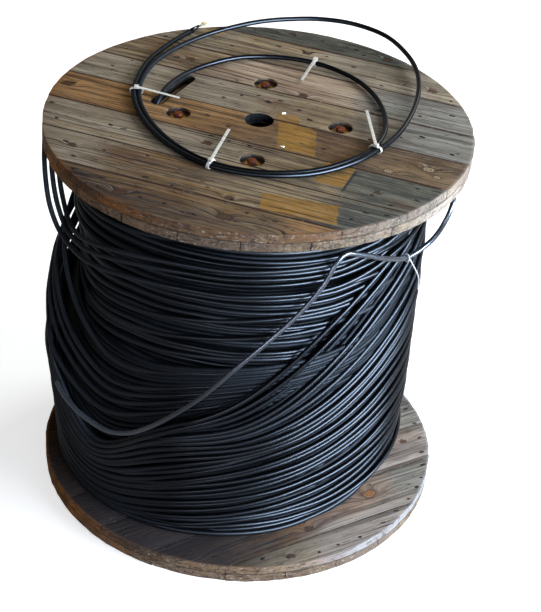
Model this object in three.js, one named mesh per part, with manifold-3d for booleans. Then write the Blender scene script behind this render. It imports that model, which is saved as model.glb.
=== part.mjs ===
// Wooden cable drum: two double-layer board flanges on a stave barrel, held by four tie rods,
// wound with black cable. The inner end of the cable comes up through a slot in the top flange
// and lies there as a tied coil. The outer end is tied back under the top flange.
// Millimetres, +Z up. The origin is the middle of the bottom face, on the floor.
import * as THREE from 'three';
import { mergeVertices } from 'three/addons/utils/BufferGeometryUtils.js';
import Module from 'manifold-3d';

const wasm = await Module();
wasm.setup();

// ---- Driving dimensions ----
const FLANGE_RADIUS = 500;
const DRUM_HEIGHT = 977;
const BOARD_THICKNESS = 23;
const BOARD_SEAM = 2.4;            // open gap between neighbouring boards
const SEAT_GAP = 0.3;              // clearance between pieces that rest on each other

// Each layer's boards: their direction in plan, how many they are and how wide the first and the
// last one are at the rim. The boards between those two share the rest evenly.
const TOP_OUTER = { angle: -18.5, count: 8, firstWidth: 127, lastWidth: 87 };
const TOP_INNER = { angle: 71.5, count: 8, firstWidth: 85, lastWidth: 105 };
const BOTTOM_INNER = { angle: 32.5, count: 8, firstWidth: 80, lastWidth: 140 };
const BOTTOM_OUTER = { angle: 122.5, count: 8, firstWidth: 109, lastWidth: 99 };

const ARBOR_RADIUS = 34;

const BARREL_RADIUS = 228;
const STAVE_THICKNESS = 24;
const STAVE_COUNT = 18;
const STAVE_SEAM_WIDTH = 3;
const STAVE_SEAM_DEPTH = 8;

const ROD_TO_STAVES = 16;          // from a rod's axis to the inner face of the staves
const BOLT_COUNT = 4;
const BOLT_FIRST_ANGLE = -2;
const ROD_RADIUS = 6;
const ROD_HOLE_CLEARANCE = 1.5;
const COUNTERBORE_RADIUS = 29;
const COUNTERBORE_DEPTH = 14;
const WASHER_RADIUS = 22;
const WASHER_THICKNESS = 2.5;
const WASHER_DISH = 1.5;
const NUT_ACROSS_FLATS = 19;
const NUT_HEIGHT = 9;
const CAP_RADIUS = 15;             // the round cap on each rod's lower end
const CAP_FLAT_RADIUS = 8.25;
const CAP_HEIGHT = 7;
const CAP_CROWN = 2.8;             // the rounded part of that height

const CABLE_DIAMETER = 11.7;
const PACK_RADIUS = 404;
const PACK_FULL_HEIGHT = 214;      // above the bottom flange
const PACK_SHOULDER_HEIGHT = 84;   // above the bottom flange
const PACK_SHOULDER_TUCK = 16;     // the lower turns are drawn in by this much
const PACK_FOOT_TUCK = 34;
// The level turns sag out to the left. Each row is a height above the bottom flange and how far.
const PACK_SAG = [
  [290, 0], [340, 6], [430, 12], [530, 16], [650, 18],
];

// The slack outer turns hang off centre, to the left. Each ring is a height above the bottom
// flange, the place of its centre (x, y) and how far it stands out from the pack.
const LOOSE_RINGS = [
  [0, -45, 20, 20],
  [331, -44, 0, 51],
  [610, -22, 0, 28],
  [820, -42, 0, 38],
];
// Their upper edge: a direction in degrees, then its height above the bottom flange.
const LOOSE_EDGE = [
  [-200, 574], [-180, 484], [-160, 326], [-140, 199], [-115, 311], [-90, 404], [-65, 542], [-40, 678],
  [-10, 799], [30, 839], [80, 804], [130, 704], [160, 574], [180, 484], [200, 326],
];
const LOOSE_LIFT_ANGLE = 25;       // where their lower edge is highest
const LOOSE_LIFT_HEIGHT = 60;

// Three turns hang free on the left. Each row is a direction, then for each of them its height
// and how far it stands out from the pack.
const HANGING_TURNS = [
  [-180, [893, 87], [906, 72], [890, 60]],
  [-172, [862, 86], [892, 72], [872, 59]],
  [-165, [806, 77], [862, 69], [848, 55]],
  [-160, [764, 58], [824, 58], [831, 50]],
  [-155, [746, 46], [798, 47], [813, 45]],
  [-145, [737, 41], [785, 42], [803, 42]],
  [-130, [747, 31], [792, 31], [811, 31]],
  [-110, [757, 14], [800, 14], [820, 14]],
  [-90, [760, 8], [804, 8], [824, 8]],
  [-60, [771, 8], [814, 8], [834, 8]],
  [-30, [815, 8], [858, 8], [844, 8]],
  [0, [838, 8], [874, 8], [856, 8]],
  [40, [850, 10], [882, 10], [866, 10]],
  [90, [868, 24], [895, 24], [880, 24]],
  [130, [893, 52], [908, 50], [893, 44]],
  [160, [908, 80], [912, 66], [898, 56]],
];

const SLOT_WIDTH = 32;
const SLOT_START = [-240, 54];     // ends of the slot's middle line, in the top layer
const SLOT_END = [-178, 182];
const SLOT_LEAN = [-12, -44];      // how far the slot moves towards its start in the lower layer

const COIL_LIFT = 1.9;             // the ties pass under the coiled cable
const END_DIRECTION = [30, 57];    // the way that the stripped end of the coil points, in plan
const PRONG_RADIUS = 2;
const PRONG_LENGTH = 46;
const PRONG_SPREAD = 5;            // from the middle line, where they are furthest apart
const PRONG_SPREAD_PLACE = 18.4;   // along the prongs
const PRONG_PINCH = 1;             // from the middle line, at both ends
const YARN_RADIUS = 3.6;
const YARN_LENGTH = 20;

const TIE_WIDTH = 7.6;
const TIE_THICKNESS = 1.5;
const TIE_HEAD = [11, 9.5, 6.5];
const TIE_CLEARANCE = 0.4;
const TIE_SIDE_PLAY = 2.4;         // the bands are a loose fit sideways
const TIE_TAIL_WIDTH = 7;
const TIE_TAIL_THICKNESS = 1.4;

const STRING_RADIUS = 1.5;
const STRING_PLAY = 1.6;           // between the string's loop and the cable in it

// ---- Sizes worked out from them ----
const FLANGE_THICKNESS = 2 * BOARD_THICKNESS;
const BOTTOM_FACE = FLANGE_THICKNESS;
const TOP_FACE = DRUM_HEIGHT - FLANGE_THICKNESS;
const DEG = Math.PI / 180;
const CABLE_RADIUS = CABLE_DIAMETER / 2;
const COIL_Z = DRUM_HEIGHT + COIL_LIFT + CABLE_RADIUS;
const BOLT_CIRCLE_RADIUS = BARREL_RADIUS - STAVE_THICKNESS - ROD_TO_STAVES;
const STRING_LOOP_RADIUS = CABLE_RADIUS + STRING_PLAY + STRING_RADIUS;

// ---- Fineness of the faceted shapes ----
const RIM_STEP = 5 * DEG;
const RING_SEGMENTS = 72;
const HOLE_SEGMENTS = 24;
const ROD_SEGMENTS = 12;
const SLOT_END_SEGMENTS = 8;
const TIE_SEGMENTS = 5;
const SLEEVE_LEVELS = 8;
const CABLE_SIDES = 10;
const COIL_STEPS = 80;
const HANGING_SIDES = 6;
const HANGING_STEPS = 72;
const LEAD_STEPS = 54;
const THIN_SIDES = 8;
const PRONG_STEPS = 6;
const YARN_STEPS = 2;
const STRING_SIDES = 6;
const STRING_LOOP_SEGMENTS = 14;
const STRING_TAIL_STEPS = 8;
const CUT_MARGIN = 5;              // how far a cutter reaches past the faces that it cuts
const SAME_POINT = 0.01;           // two outline points nearer than this are one

// ---- Materials ----
const MATERIALS = {
  wood: { color: 0x8f7d66, roughness: 0.85, metalness: 0 },
  innerWood: { color: 0x7d6a52, roughness: 0.88, metalness: 0 },
  barrelWood: { color: 0x86715a, roughness: 0.9, metalness: 0 },
  cable: { color: 0x15171c, roughness: 0.42, metalness: 0 },
  rust: { color: 0x5c2a12, roughness: 0.75, metalness: 0.4 },
  zinc: { color: 0x6a665a, roughness: 0.4, metalness: 0.8 },
  nylon: { color: 0xe6e4dd, roughness: 0.5, metalness: 0 },
  yarn: { color: 0xc9a227, roughness: 0.9, metalness: 0 },
};

const drum = new THREE.Group();

function add(name, geometry, look) {
  const mesh = new THREE.Mesh(geometry, new THREE.MeshStandardMaterial(MATERIALS[look]));
  mesh.name = name;
  drum.add(mesh);
  return mesh;
}

// ---- Booleans ----
function toSolid(geometry) {
  const plain = geometry.clone();
  plain.deleteAttribute('normal');
  plain.deleteAttribute('uv');
  const merged = mergeVertices(plain, 1e-4);
  const vertProperties = new Float32Array(merged.attributes.position.array);
  const triVerts = new Uint32Array(merged.index.array);
  return new wasm.Manifold(new wasm.Mesh({ numProp: 3, vertProperties, triVerts }));
}

function fromSolid(solid) {
  const mesh = solid.getMesh();
  const geometry = new THREE.BufferGeometry();
  geometry.setAttribute('position', new THREE.BufferAttribute(new Float32Array(mesh.vertProperties), 3));
  geometry.setIndex(new THREE.BufferAttribute(new Uint32Array(mesh.triVerts), 1));
  geometry.computeVertexNormals();
  return geometry;
}

function cutAll(geometry, cutters) {
  let solid = toSolid(geometry);
  for (const cutter of cutters) {
    solid = solid.subtract(toSolid(cutter));
  }
  return fromSolid(solid);
}

function joinAll(geometries) {
  let solid = toSolid(geometries[0]);
  for (const geometry of geometries.slice(1)) {
    solid = solid.add(toSolid(geometry));
  }
  return fromSolid(solid);
}

// A round cutter between two heights.
function roundCutter(x, y, radius, z0, z1) {
  const cutter = new THREE.CylinderGeometry(radius, radius, z1 - z0, HOLE_SEGMENTS);
  cutter.rotateX(90 * DEG);
  cutter.translate(x, y, (z0 + z1) / 2);
  return cutter;
}

// ---- Flanges ----
function boltPlaces() {
  const places = [];
  for (let i = 0; i < BOLT_COUNT; i += 1) {
    const angle = (BOLT_FIRST_ANGLE + (i * 360) / BOLT_COUNT) * DEG;
    places.push([BOLT_CIRCLE_RADIUS * Math.cos(angle), BOLT_CIRCLE_RADIUS * Math.sin(angle)]);
  }
  return places;
}

// The distances from the middle at which one layer's boards meet.
function seamPlaces({ count, firstWidth, lastWidth }) {
  const pitch = (2 * FLANGE_RADIUS - firstWidth - lastWidth) / (count - 2);
  return Array.from({ length: count - 1 }, (_, i) => firstWidth - FLANGE_RADIUS + i * pitch);
}

// One board's outline: a strip of the disc between two lines along X.
function boardOutline(low, high) {
  const points = [];
  const arc = (from, to) => {
    const steps = Math.max(1, Math.round(Math.abs(to - from) / RIM_STEP));
    for (let i = 0; i <= steps; i += 1) {
      const a = from + ((to - from) * i) / steps;
      points.push(new THREE.Vector2(FLANGE_RADIUS * Math.cos(a), FLANGE_RADIUS * Math.sin(a)));
    }
  };
  const start = Math.asin(Math.max(-1, low / FLANGE_RADIUS));
  const end = Math.asin(Math.min(1, high / FLANGE_RADIUS));
  arc(start, end);
  arc(Math.PI - end, Math.PI - start);
  const first = points[0];
  const unique = points.filter((p, i) => i === 0 || p.distanceTo(points[i - 1]) > SAME_POINT);
  if (unique[unique.length - 1].distanceTo(first) < SAME_POINT) {
    unique.pop();
  }
  return new THREE.Shape(unique);
}

function layerCutters(z0, boreDepthFromTop, boreDepthFromBottom, slotShift) {
  const z1 = z0 + BOARD_THICKNESS;
  const cutters = [roundCutter(0, 0, ARBOR_RADIUS, z0 - CUT_MARGIN, z1 + CUT_MARGIN)];
  for (const [x, y] of boltPlaces()) {
    const holeRadius = ROD_RADIUS + ROD_HOLE_CLEARANCE;
    cutters.push(roundCutter(x, y, holeRadius, z0 - CUT_MARGIN, z1 + CUT_MARGIN));
    if (boreDepthFromTop > 0) {
      cutters.push(roundCutter(x, y, COUNTERBORE_RADIUS, z1 - boreDepthFromTop, z1 + CUT_MARGIN));
    }
    if (boreDepthFromBottom > 0) {
      cutters.push(roundCutter(x, y, COUNTERBORE_RADIUS, z0 - CUT_MARGIN, z0 + boreDepthFromBottom));
    }
  }
  if (slotShift) {
    cutters.push(slotCutter(slotShift, z0 - CUT_MARGIN, z1 + CUT_MARGIN));
  }
  return cutters;
}

// A slot with round ends, moved sideways in plan.
function slotCutter(shift, z0, z1) {
  const from = new THREE.Vector2(SLOT_START[0] + shift[0], SLOT_START[1] + shift[1]);
  const to = new THREE.Vector2(SLOT_END[0] + shift[0], SLOT_END[1] + shift[1]);
  const length = from.distanceTo(to);
  const half = SLOT_WIDTH / 2;
  const outline = new THREE.Shape();
  outline.moveTo(0, -half);
  outline.lineTo(length, -half);
  outline.absarc(length, 0, half, -90 * DEG, 90 * DEG, false);
  outline.lineTo(0, half);
  outline.absarc(0, 0, half, 90 * DEG, 270 * DEG, false);
  const options = { depth: z1 - z0, bevelEnabled: false, curveSegments: SLOT_END_SEGMENTS };
  const cutter = new THREE.ExtrudeGeometry(outline, options);
  cutter.rotateZ(Math.atan2(to.y - from.y, to.x - from.x));
  cutter.translate(from.x, from.y, z0);
  return cutter;
}

function addLayer(name, layer, z0, look, cutters) {
  const seams = seamPlaces(layer);
  const edges = [-FLANGE_RADIUS, ...seams, FLANGE_RADIUS];
  for (let i = 0; i + 1 < edges.length; i += 1) {
    const low = i === 0 ? edges[i] : edges[i] + BOARD_SEAM / 2;
    const high = i + 2 === edges.length ? edges[i + 1] : edges[i + 1] - BOARD_SEAM / 2;
    const options = { depth: BOARD_THICKNESS - SEAT_GAP, bevelEnabled: false };
    const board = new THREE.ExtrudeGeometry(boardOutline(low, high), options);
    board.rotateZ(layer.angle * DEG);
    board.translate(0, 0, z0);
    add(`${name}_${i + 1}`, cutAll(board, cutters), look);
  }
}

const topOuterZ = TOP_FACE + BOARD_THICKNESS + SEAT_GAP;
const topInnerZ = TOP_FACE;
const bottomInnerZ = BOARD_THICKNESS + SEAT_GAP;
addLayer('top_outer_board', TOP_OUTER, topOuterZ, 'wood',
  layerCutters(topOuterZ - SEAT_GAP, COUNTERBORE_DEPTH, 0, [0, 0]));
addLayer('top_inner_board', TOP_INNER, topInnerZ, 'innerWood',
  layerCutters(topInnerZ, 0, 0, SLOT_LEAN));
addLayer('bottom_inner_board', BOTTOM_INNER, bottomInnerZ, 'wood',
  layerCutters(bottomInnerZ, 0, 0, null));
addLayer('bottom_outer_board', BOTTOM_OUTER, 0, 'innerWood',
  layerCutters(0, 0, COUNTERBORE_DEPTH, null));

// ---- Barrel ----
// The staves stand edge to edge between the flanges, with a groove where two of them meet.
function barrelOutline() {
  const outline = new THREE.Shape();
  const stavePitch = 360 / STAVE_COUNT;
  const grooveHalf = (STAVE_SEAM_WIDTH / 2 / BARREL_RADIUS) / DEG;
  const points = [];
  for (let i = 0; i < STAVE_COUNT; i += 1) {
    const start = i * stavePitch;
    for (const [offset, radius] of [
      [-grooveHalf, BARREL_RADIUS - STAVE_SEAM_DEPTH],
      [grooveHalf, BARREL_RADIUS - STAVE_SEAM_DEPTH],
      [grooveHalf, BARREL_RADIUS],
      [stavePitch - grooveHalf, BARREL_RADIUS],
    ]) {
      const a = (start + offset) * DEG;
      points.push(new THREE.Vector2(radius * Math.cos(a), radius * Math.sin(a)));
    }
  }
  outline.setFromPoints(points);
  const bore = new THREE.Path();
  const inner = [];
  for (let i = 0; i < STAVE_COUNT; i += 1) {
    const a = -i * stavePitch * DEG;
    const radius = BARREL_RADIUS - STAVE_THICKNESS;
    inner.push(new THREE.Vector2(radius * Math.cos(a), radius * Math.sin(a)));
  }
  bore.setFromPoints(inner);
  outline.holes.push(bore);
  return outline;
}

const barrelBottom = BOTTOM_FACE + SEAT_GAP;
const barrelHeight = TOP_FACE - SEAT_GAP - barrelBottom;
const barrel = new THREE.ExtrudeGeometry(barrelOutline(), { depth: barrelHeight, bevelEnabled: false });
barrel.translate(0, 0, barrelBottom);
add('barrel_staves', barrel, 'barrelWood');

// ---- Tie rods ----
const capSeat = COUNTERBORE_DEPTH - SEAT_GAP;
const rodBottom = capSeat - CAP_HEIGHT;
const washerSeat = DRUM_HEIGHT - COUNTERBORE_DEPTH + SEAT_GAP;
const nutSeat = washerSeat + WASHER_THICKNESS + WASHER_DISH + SEAT_GAP;
const rodTop = nutSeat + NUT_HEIGHT;

// Turns a lathe profile of [radius, height] pairs, which comes out along Y, to stand along Z.
function turned(profile, segments) {
  const lathe = new THREE.LatheGeometry(profile.map(([r, z]) => new THREE.Vector2(r, z)), segments);
  lathe.rotateX(90 * DEG);
  return lathe;
}

function rodGeometry() {
  const rod = new THREE.CylinderGeometry(ROD_RADIUS, ROD_RADIUS, rodTop - rodBottom, ROD_SEGMENTS);
  rod.rotateX(90 * DEG);
  rod.translate(0, 0, (rodBottom + rodTop) / 2);
  return rod;
}

function capGeometry() {
  const bore = ROD_RADIUS + SEAT_GAP;
  return turned([
    [bore, rodBottom],
    [CAP_FLAT_RADIUS, rodBottom],
    [CAP_RADIUS, rodBottom + CAP_CROWN],
    [CAP_RADIUS, capSeat],
    [bore, capSeat],
    [bore, rodBottom],
  ], HOLE_SEGMENTS);
}

function washerGeometry() {
  const bore = ROD_RADIUS + SEAT_GAP;
  const top = washerSeat + WASHER_THICKNESS;
  return turned([
    [bore, washerSeat + WASHER_DISH],
    [WASHER_RADIUS, washerSeat],
    [WASHER_RADIUS, top],
    [bore, top + WASHER_DISH],
    [bore, washerSeat + WASHER_DISH],
  ], HOLE_SEGMENTS);
}

function nutGeometry() {
  const corner = NUT_ACROSS_FLATS / 2 / Math.cos(30 * DEG);
  const outline = new THREE.Shape();
  outline.setFromPoints(Array.from({ length: 6 }, (_, i) => {
    const a = i * 60 * DEG;
    return new THREE.Vector2(corner * Math.cos(a), corner * Math.sin(a));
  }));
  const bore = new THREE.Path();
  bore.setFromPoints(Array.from({ length: 12 }, (_, i) => {
    const a = -i * 30 * DEG;
    const radius = (ROD_RADIUS + SEAT_GAP) / Math.cos(15 * DEG);
    return new THREE.Vector2(radius * Math.cos(a), radius * Math.sin(a));
  }));
  outline.holes.push(bore);
  return new THREE.ExtrudeGeometry(outline, { depth: NUT_HEIGHT - SEAT_GAP, bevelEnabled: false });
}

boltPlaces().forEach(([x, y], i) => {
  add(`tie_rod_${i + 1}`, rodGeometry(), 'rust').position.set(x, y, 0);
  add(`rod_cap_${i + 1}`, capGeometry(), 'rust').position.set(x, y, 0);
  add(`rod_washer_${i + 1}`, washerGeometry(), 'zinc').position.set(x, y, 0);
  add(`rod_nut_${i + 1}`, nutGeometry(), 'rust').position.set(x, y, nutSeat);
});

// ---- Cable on the barrel ----
const packBottom = BOTTOM_FACE + SEAT_GAP;
const packTop = TOP_FACE - SEAT_GAP;
const packProfile = [
  [0, PACK_RADIUS - PACK_FOOT_TUCK],
  [PACK_SHOULDER_HEIGHT, PACK_RADIUS - PACK_SHOULDER_TUCK],
  [PACK_FULL_HEIGHT, PACK_RADIUS],
];

// Reads one column of a table at a place, in a straight line between its rows.
function readTable(table, place, column = 1) {
  const next = table.findIndex((row) => row[0] > place);
  const b = table.at(next);
  const a = next > 0 ? table[next - 1] : b;
  const share = a === b ? 0 : (place - a[0]) / (b[0] - a[0]);
  return a[column] + (b[column] - a[column]) * share;
}

function packRadiusAt(z, angle) {
  const rise = z - packBottom;
  const leftward = Math.max(0, -Math.cos(angle));
  return readTable(packProfile, rise) + readTable(PACK_SAG, rise) * leftward ** 2;
}

// Moves the points of a ring, which shape gives a radius and height by angle, height and side.
function reshape(ring, middleRadius, shape) {
  const position = ring.attributes.position;
  for (let i = 0; i < position.count; i += 1) {
    const [x, y] = [position.getX(i), position.getY(i)];
    const angle = Math.atan2(y, x);
    const [radius, z] = shape(angle, position.getZ(i), Math.hypot(x, y) > middleRadius);
    position.setXYZ(i, radius * Math.cos(angle), radius * Math.sin(angle), z);
  }
  return ring;
}

const packBore = BARREL_RADIUS + SEAT_GAP;
function packGeometry(grow) {
  const bottom = packBottom - grow;
  const top = packTop + grow;
  const rises = [...packProfile.slice(1), ...PACK_SAG].map(([rise]) => rise).sort((a, b) => a - b);
  const heights = [bottom, ...rises.map((rise) => packBottom + rise), top];
  const ring = turned([
    [packBore, bottom],
    ...heights.map((z) => [PACK_RADIUS, z]),
    [packBore, top],
    [packBore, bottom],
  ], RING_SEGMENTS);
  return reshape(ring, (packBore + PACK_RADIUS) / 2, (angle, z, outside) => (
    [outside ? packRadiusAt(z, angle) + grow : packBore, z]
  ));
}
add('cable_pack', packGeometry(0), 'cable');

// The slack turns form a sleeve around the pack: level where it meets the pack, and bulging
// to the left. Its upper edge dips at the front left and its lower edge lifts at the right.
// The radius of the sleeve's ring at a height, seen from the drum's axis.
function looseRadiusAt(z, angle) {
  const [x, y, standOut] = [1, 2, 3].map((column) => readTable(LOOSE_RINGS, z - packBottom, column));
  const along = x * Math.cos(angle) + y * Math.sin(angle);
  const across = x * Math.sin(angle) - y * Math.cos(angle);
  return along + Math.sqrt((PACK_RADIUS + standOut) ** 2 - across ** 2);
}

const looseEdge = new THREE.CubicInterpolant(
  LOOSE_EDGE.map(([direction]) => direction),
  LOOSE_EDGE.map(([, rise]) => rise),
  1,
);

function looseTop(angle) {
  return Math.min(packTop, packBottom + looseEdge.evaluate(angle / DEG)[0]);
}

function looseBottom(angle) {
  const facing = Math.max(0, Math.cos(angle - LOOSE_LIFT_ANGLE * DEG));
  return packBottom + LOOSE_LIFT_HEIGHT * facing ** 2;
}

function sleeveGeometry() {
  // In the unshaped profile, the radius says which wall a point is on and the height which level.
  const [innerWall, outerWall] = [1, 2];
  const profile = [];
  for (let i = 0; i <= SLEEVE_LEVELS; i += 1) {
    profile.push([outerWall, i]);
  }
  for (let i = SLEEVE_LEVELS; i >= 0; i -= 1) {
    profile.push([innerWall, i]);
  }
  profile.push([outerWall, 0]);
  const ring = turned(profile, RING_SEGMENTS);
  return reshape(ring, (innerWall + outerWall) / 2, (angle, level, outside) => {
    const low = looseBottom(angle);
    const z = low + ((looseTop(angle) - low) * level) / SLEEVE_LEVELS;
    const outer = Math.max(packRadiusAt(z, angle) + CABLE_DIAMETER, looseRadiusAt(z, angle));
    return [outside ? outer : packBore + CABLE_DIAMETER, z];
  });
}

function outsidePack([direction, distance, height]) {
  const a = direction * DEG;
  const radius = PACK_RADIUS + distance;
  return [radius * Math.cos(a), radius * Math.sin(a), height];
}

function hangingGeometry(turn) {
  const points = HANGING_TURNS.map((row) => {
    const [height, distance] = row[turn];
    return new THREE.Vector3(...outsidePack([row[0], distance, height]));
  });
  const curve = new THREE.CatmullRomCurve3(points, true, 'centripetal');
  return new THREE.TubeGeometry(curve, HANGING_STEPS, CABLE_RADIUS, HANGING_SIDES, true);
}

const looseTurns = joinAll([sleeveGeometry(), ...[1, 2, 3].map(hangingGeometry)]);
add('loose_outer_turns', cutAll(looseTurns, [packGeometry(SEAT_GAP)]), 'cable');

// ---- Free cable ends ----
// A tube along a curve.
function tube(curve, radius, sides, steps) {
  const circle = new THREE.Shape();
  circle.setFromPoints(Array.from({ length: sides }, (_, i) => {
    const a = (i * 2 * Math.PI) / sides;
    return new THREE.Vector2(radius * Math.cos(a), radius * Math.sin(a));
  }));
  return new THREE.ExtrudeGeometry(circle, { steps, extrudePath: curve });
}

function smooth(points) {
  const vectors = points.map(([x, y, z]) => new THREE.Vector3(x, y, z));
  return new THREE.CatmullRomCurve3(vectors, false, 'centripetal');
}

// The inner end: up through the slot, once around, twice along the tied arc at the front left,
// and once around the wide outer arc. Heights of the last column are above the lying cable.
const RISE_FROM_SLOT = [
  [-246, 36, -47], [-245, 39, -29], [-242, 49, -14], [-236, 67, -3.5],
];
const INNER_TURN = [
  [-220, 126, 0], [-183, 196, 0], [-128, 255, 0], [-56, 301, 0], [34, 316, 0], [122, 300, 0],
  [187, 260, 0], [234, 211, 0], [273, 133, 0], [292, 34, 0], [286, -42, 0],
];
const TIED_ARC = [
  [262, -108, 0], [221, -161, 0], [153, -217, 0], [87, -245, 0], [-3, -253, 0], [-94, -229, 0],
  [-167, -174, 0], [-229, -92, 0], [-271, 4, 0], [-287, 84, 0], [-283, 169, 0],
];
const OUTER_ARC = [
  [-263, 243, 1], [-225, 313, 3], [-163, 385, 7], [-90, 443, 11], [-15, 483, 15], [62, 506, 17],
  [139, 515, 18], [217, 500, 18], [294, 449, 17], [344, 363, 15], [368, 283, 12], [373, 192, 9],
  [357, 80, 6], [327, -20, 3], [300, -74, 1],
];
const COIL_TAIL = [
  [-280, 247, 0], [-252, 319, 0], [-217, 388, 0],
];
const CABLE_END = [-196, 421, 0];
const COIL_CENTRE = [5, 35];

// A point pushed away from the middle of the coil by one cable.
function besideFirst([x, y, rise]) {
  const away = new THREE.Vector2(x - COIL_CENTRE[0], y - COIL_CENTRE[1]);
  away.setLength(away.length() + CABLE_DIAMETER + 2 * SEAT_GAP);
  return [COIL_CENTRE[0] + away.x, COIL_CENTRE[1] + away.y, rise];
}

const coilPoints = [
  ...RISE_FROM_SLOT, ...INNER_TURN, ...TIED_ARC, ...OUTER_ARC, ...TIED_ARC.map(besideFirst),
  ...COIL_TAIL, CABLE_END,
].map(([x, y, rise]) => [x, y, COIL_Z + rise]);
const coilCurve = smooth(coilPoints);
add('top_coil_cable', tube(coilCurve, CABLE_RADIUS, CABLE_SIDES, COIL_STEPS), 'cable');

// The stripped end: two thin prongs side by side that run into a tuft of yarn.
const endDirection = new THREE.Vector2(...END_DIRECTION).normalize();
function alongEnd(distance, side) {
  return [
    CABLE_END[0] + endDirection.x * distance + endDirection.y * side,
    CABLE_END[1] + endDirection.y * distance - endDirection.x * side,
    COIL_Z,
  ];
}

function prongGeometry(side) {
  const start = 2 * SEAT_GAP;
  const path = smooth([
    alongEnd(start, PRONG_PINCH * side),
    alongEnd(start + PRONG_SPREAD_PLACE, PRONG_SPREAD * side),
    alongEnd(start + PRONG_LENGTH, PRONG_PINCH * side),
  ]);
  return tube(path, PRONG_RADIUS, THIN_SIDES, PRONG_STEPS);
}
add('coil_end_prongs', joinAll([prongGeometry(1), prongGeometry(-1)]), 'cable');

const yarnStart = PRONG_LENGTH + 4 * SEAT_GAP;
const yarnPath = smooth([alongEnd(yarnStart, 0), alongEnd(yarnStart + YARN_LENGTH, 0)]);
add('coil_end_yarn', tube(yarnPath, YARN_RADIUS, THIN_SIDES, YARN_STEPS), 'yarn');

// The outer end: over the slack turns from the left, up under the top flange, back through the
// string tie and in again behind the winding at the right.
// Each point is a direction in degrees, a distance out from the pack and a height.
const OUTER_END_ROUTE = [
  [-152.04, 93, 355], [-147.72, 90.4, 343], [-138.65, 84.9, 333], [-128.36, 79.4, 335],
  [-121.11, 76, 358], [-114.19, 71.8, 400], [-107.08, 62.6, 452], [-100.1, 52.1, 507],
  [-90.77, 40, 591], [-81.44, 32.9, 667], [-72.78, 28.4, 736], [-66.59, 26.4, 798],
  [-63.32, 25.8, 845], [-60.32, 24.2, 864], [-54.48, 21.1, 850], [-45, 20.3, 816],
  [-33.54, 23.1, 782], [-28.32, 34.5, 787], [-24.78, 54.2, 812], [-23.23, 72.6, 859],
  [-20.7, 77, 894], [-13.68, 61.2, 914], [-6.54, 34.9, 917], [-0.68, 18, 905],
];
const STRING_TAIL_END = [-21.23, 24, 646];

const leadCurve = smooth(OUTER_END_ROUTE.map(outsidePack));
add('outer_end_cable', tube(leadCurve, CABLE_RADIUS, CABLE_SIDES, LEAD_STEPS), 'cable');

// ---- Ties ----
// A flat band around a bundle that runs along Y, with its head on top and its tail pointing
// away along X. The bundle's middle is the origin.
function bandGeometry(halfWidth, halfHeight) {
  const outline = new THREE.Shape();
  const ring = (path, grow, clockwise) => {
    const r = halfHeight + grow;
    const side = halfWidth - halfHeight;
    if (clockwise) {
      path.absarc(-side, 0, r, 270 * DEG, 90 * DEG, true);
      path.absarc(side, 0, r, 90 * DEG, -90 * DEG, true);
    } else {
      path.absarc(side, 0, r, -90 * DEG, 90 * DEG, false);
      path.absarc(-side, 0, r, 90 * DEG, 270 * DEG, false);
    }
  };
  ring(outline, TIE_THICKNESS, false);
  const hole = new THREE.Path();
  ring(hole, 0, true);
  outline.holes.push(hole);
  const options = { depth: TIE_WIDTH, bevelEnabled: false, curveSegments: TIE_SEGMENTS };
  const band = new THREE.ExtrudeGeometry(outline, options);
  band.rotateX(90 * DEG);
  band.translate(0, TIE_WIDTH / 2, 0);
  return band;
}

// Each tie: the point of the coil that it holds, with the points before and after it, and how
// many cables it takes.
const TIES = [
  { arc: TIED_ARC, index: 9, cables: 2 },
  { arc: TIED_ARC, index: 5, cables: 2 },
  { arc: [INNER_TURN.at(-1), ...TIED_ARC], index: 1, cables: 2 },
  { arc: INNER_TURN, index: 5, cables: 1 },
];
// Where each tie's tail ends, with its height above the flange.
const TIE_TAIL_ENDS = [
  [-190, 55, 13], [-66, -66, 6], [248, 70, 8], [92, 210, 4],
];

// A straight strip between two points, its flat side up.
function stripGeometry(from, to) {
  const length = from.distanceTo(to);
  const strip = new THREE.BoxGeometry(length, TIE_TAIL_WIDTH, TIE_TAIL_THICKNESS);
  const flat = Math.hypot(to.x - from.x, to.y - from.y);
  strip.rotateY(-Math.atan2(to.z - from.z, flat));
  strip.rotateZ(Math.atan2(to.y - from.y, to.x - from.x));
  strip.translate((from.x + to.x) / 2, (from.y + to.y) / 2, (from.z + to.z) / 2);
  return strip;
}

function tieGeometry(tie, tailEnd) {
  const [before, held, after] = tie.arc.slice(tie.index - 1, tie.index + 2);
  const other = tie.cables > 1 ? besideFirst(held) : held;
  const x = (held[0] + other[0]) / 2;
  const y = (held[1] + other[1]) / 2;
  const halfHeight = CABLE_RADIUS + TIE_CLEARANCE;
  const spread = Math.hypot(other[0] - held[0], other[1] - held[1]) / 2;
  const turn = Math.atan2(after[1] - before[1], after[0] - before[0]) - 90 * DEG;
  const band = bandGeometry(halfHeight + spread + TIE_SIDE_PLAY, halfHeight);
  band.rotateZ(turn);
  band.translate(x, y, COIL_Z);
  const [headWidth, headLength, headHeight] = TIE_HEAD;
  const headZ = COIL_Z + halfHeight + (TIE_THICKNESS + headHeight) / 2;
  const head = new THREE.BoxGeometry(headWidth, headLength, headHeight);
  head.rotateZ(turn);
  head.translate(x, y, headZ);
  const from = new THREE.Vector3(x, y, headZ);
  const to = new THREE.Vector3(tailEnd[0], tailEnd[1], DRUM_HEIGHT + tailEnd[2]);
  return joinAll([band, head, stripGeometry(from, to)]);
}
TIES.forEach((tie, i) => {
  add(`nylon_tie_${i + 1}`, tieGeometry(tie, TIE_TAIL_ENDS[i]), 'nylon');
});

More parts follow.
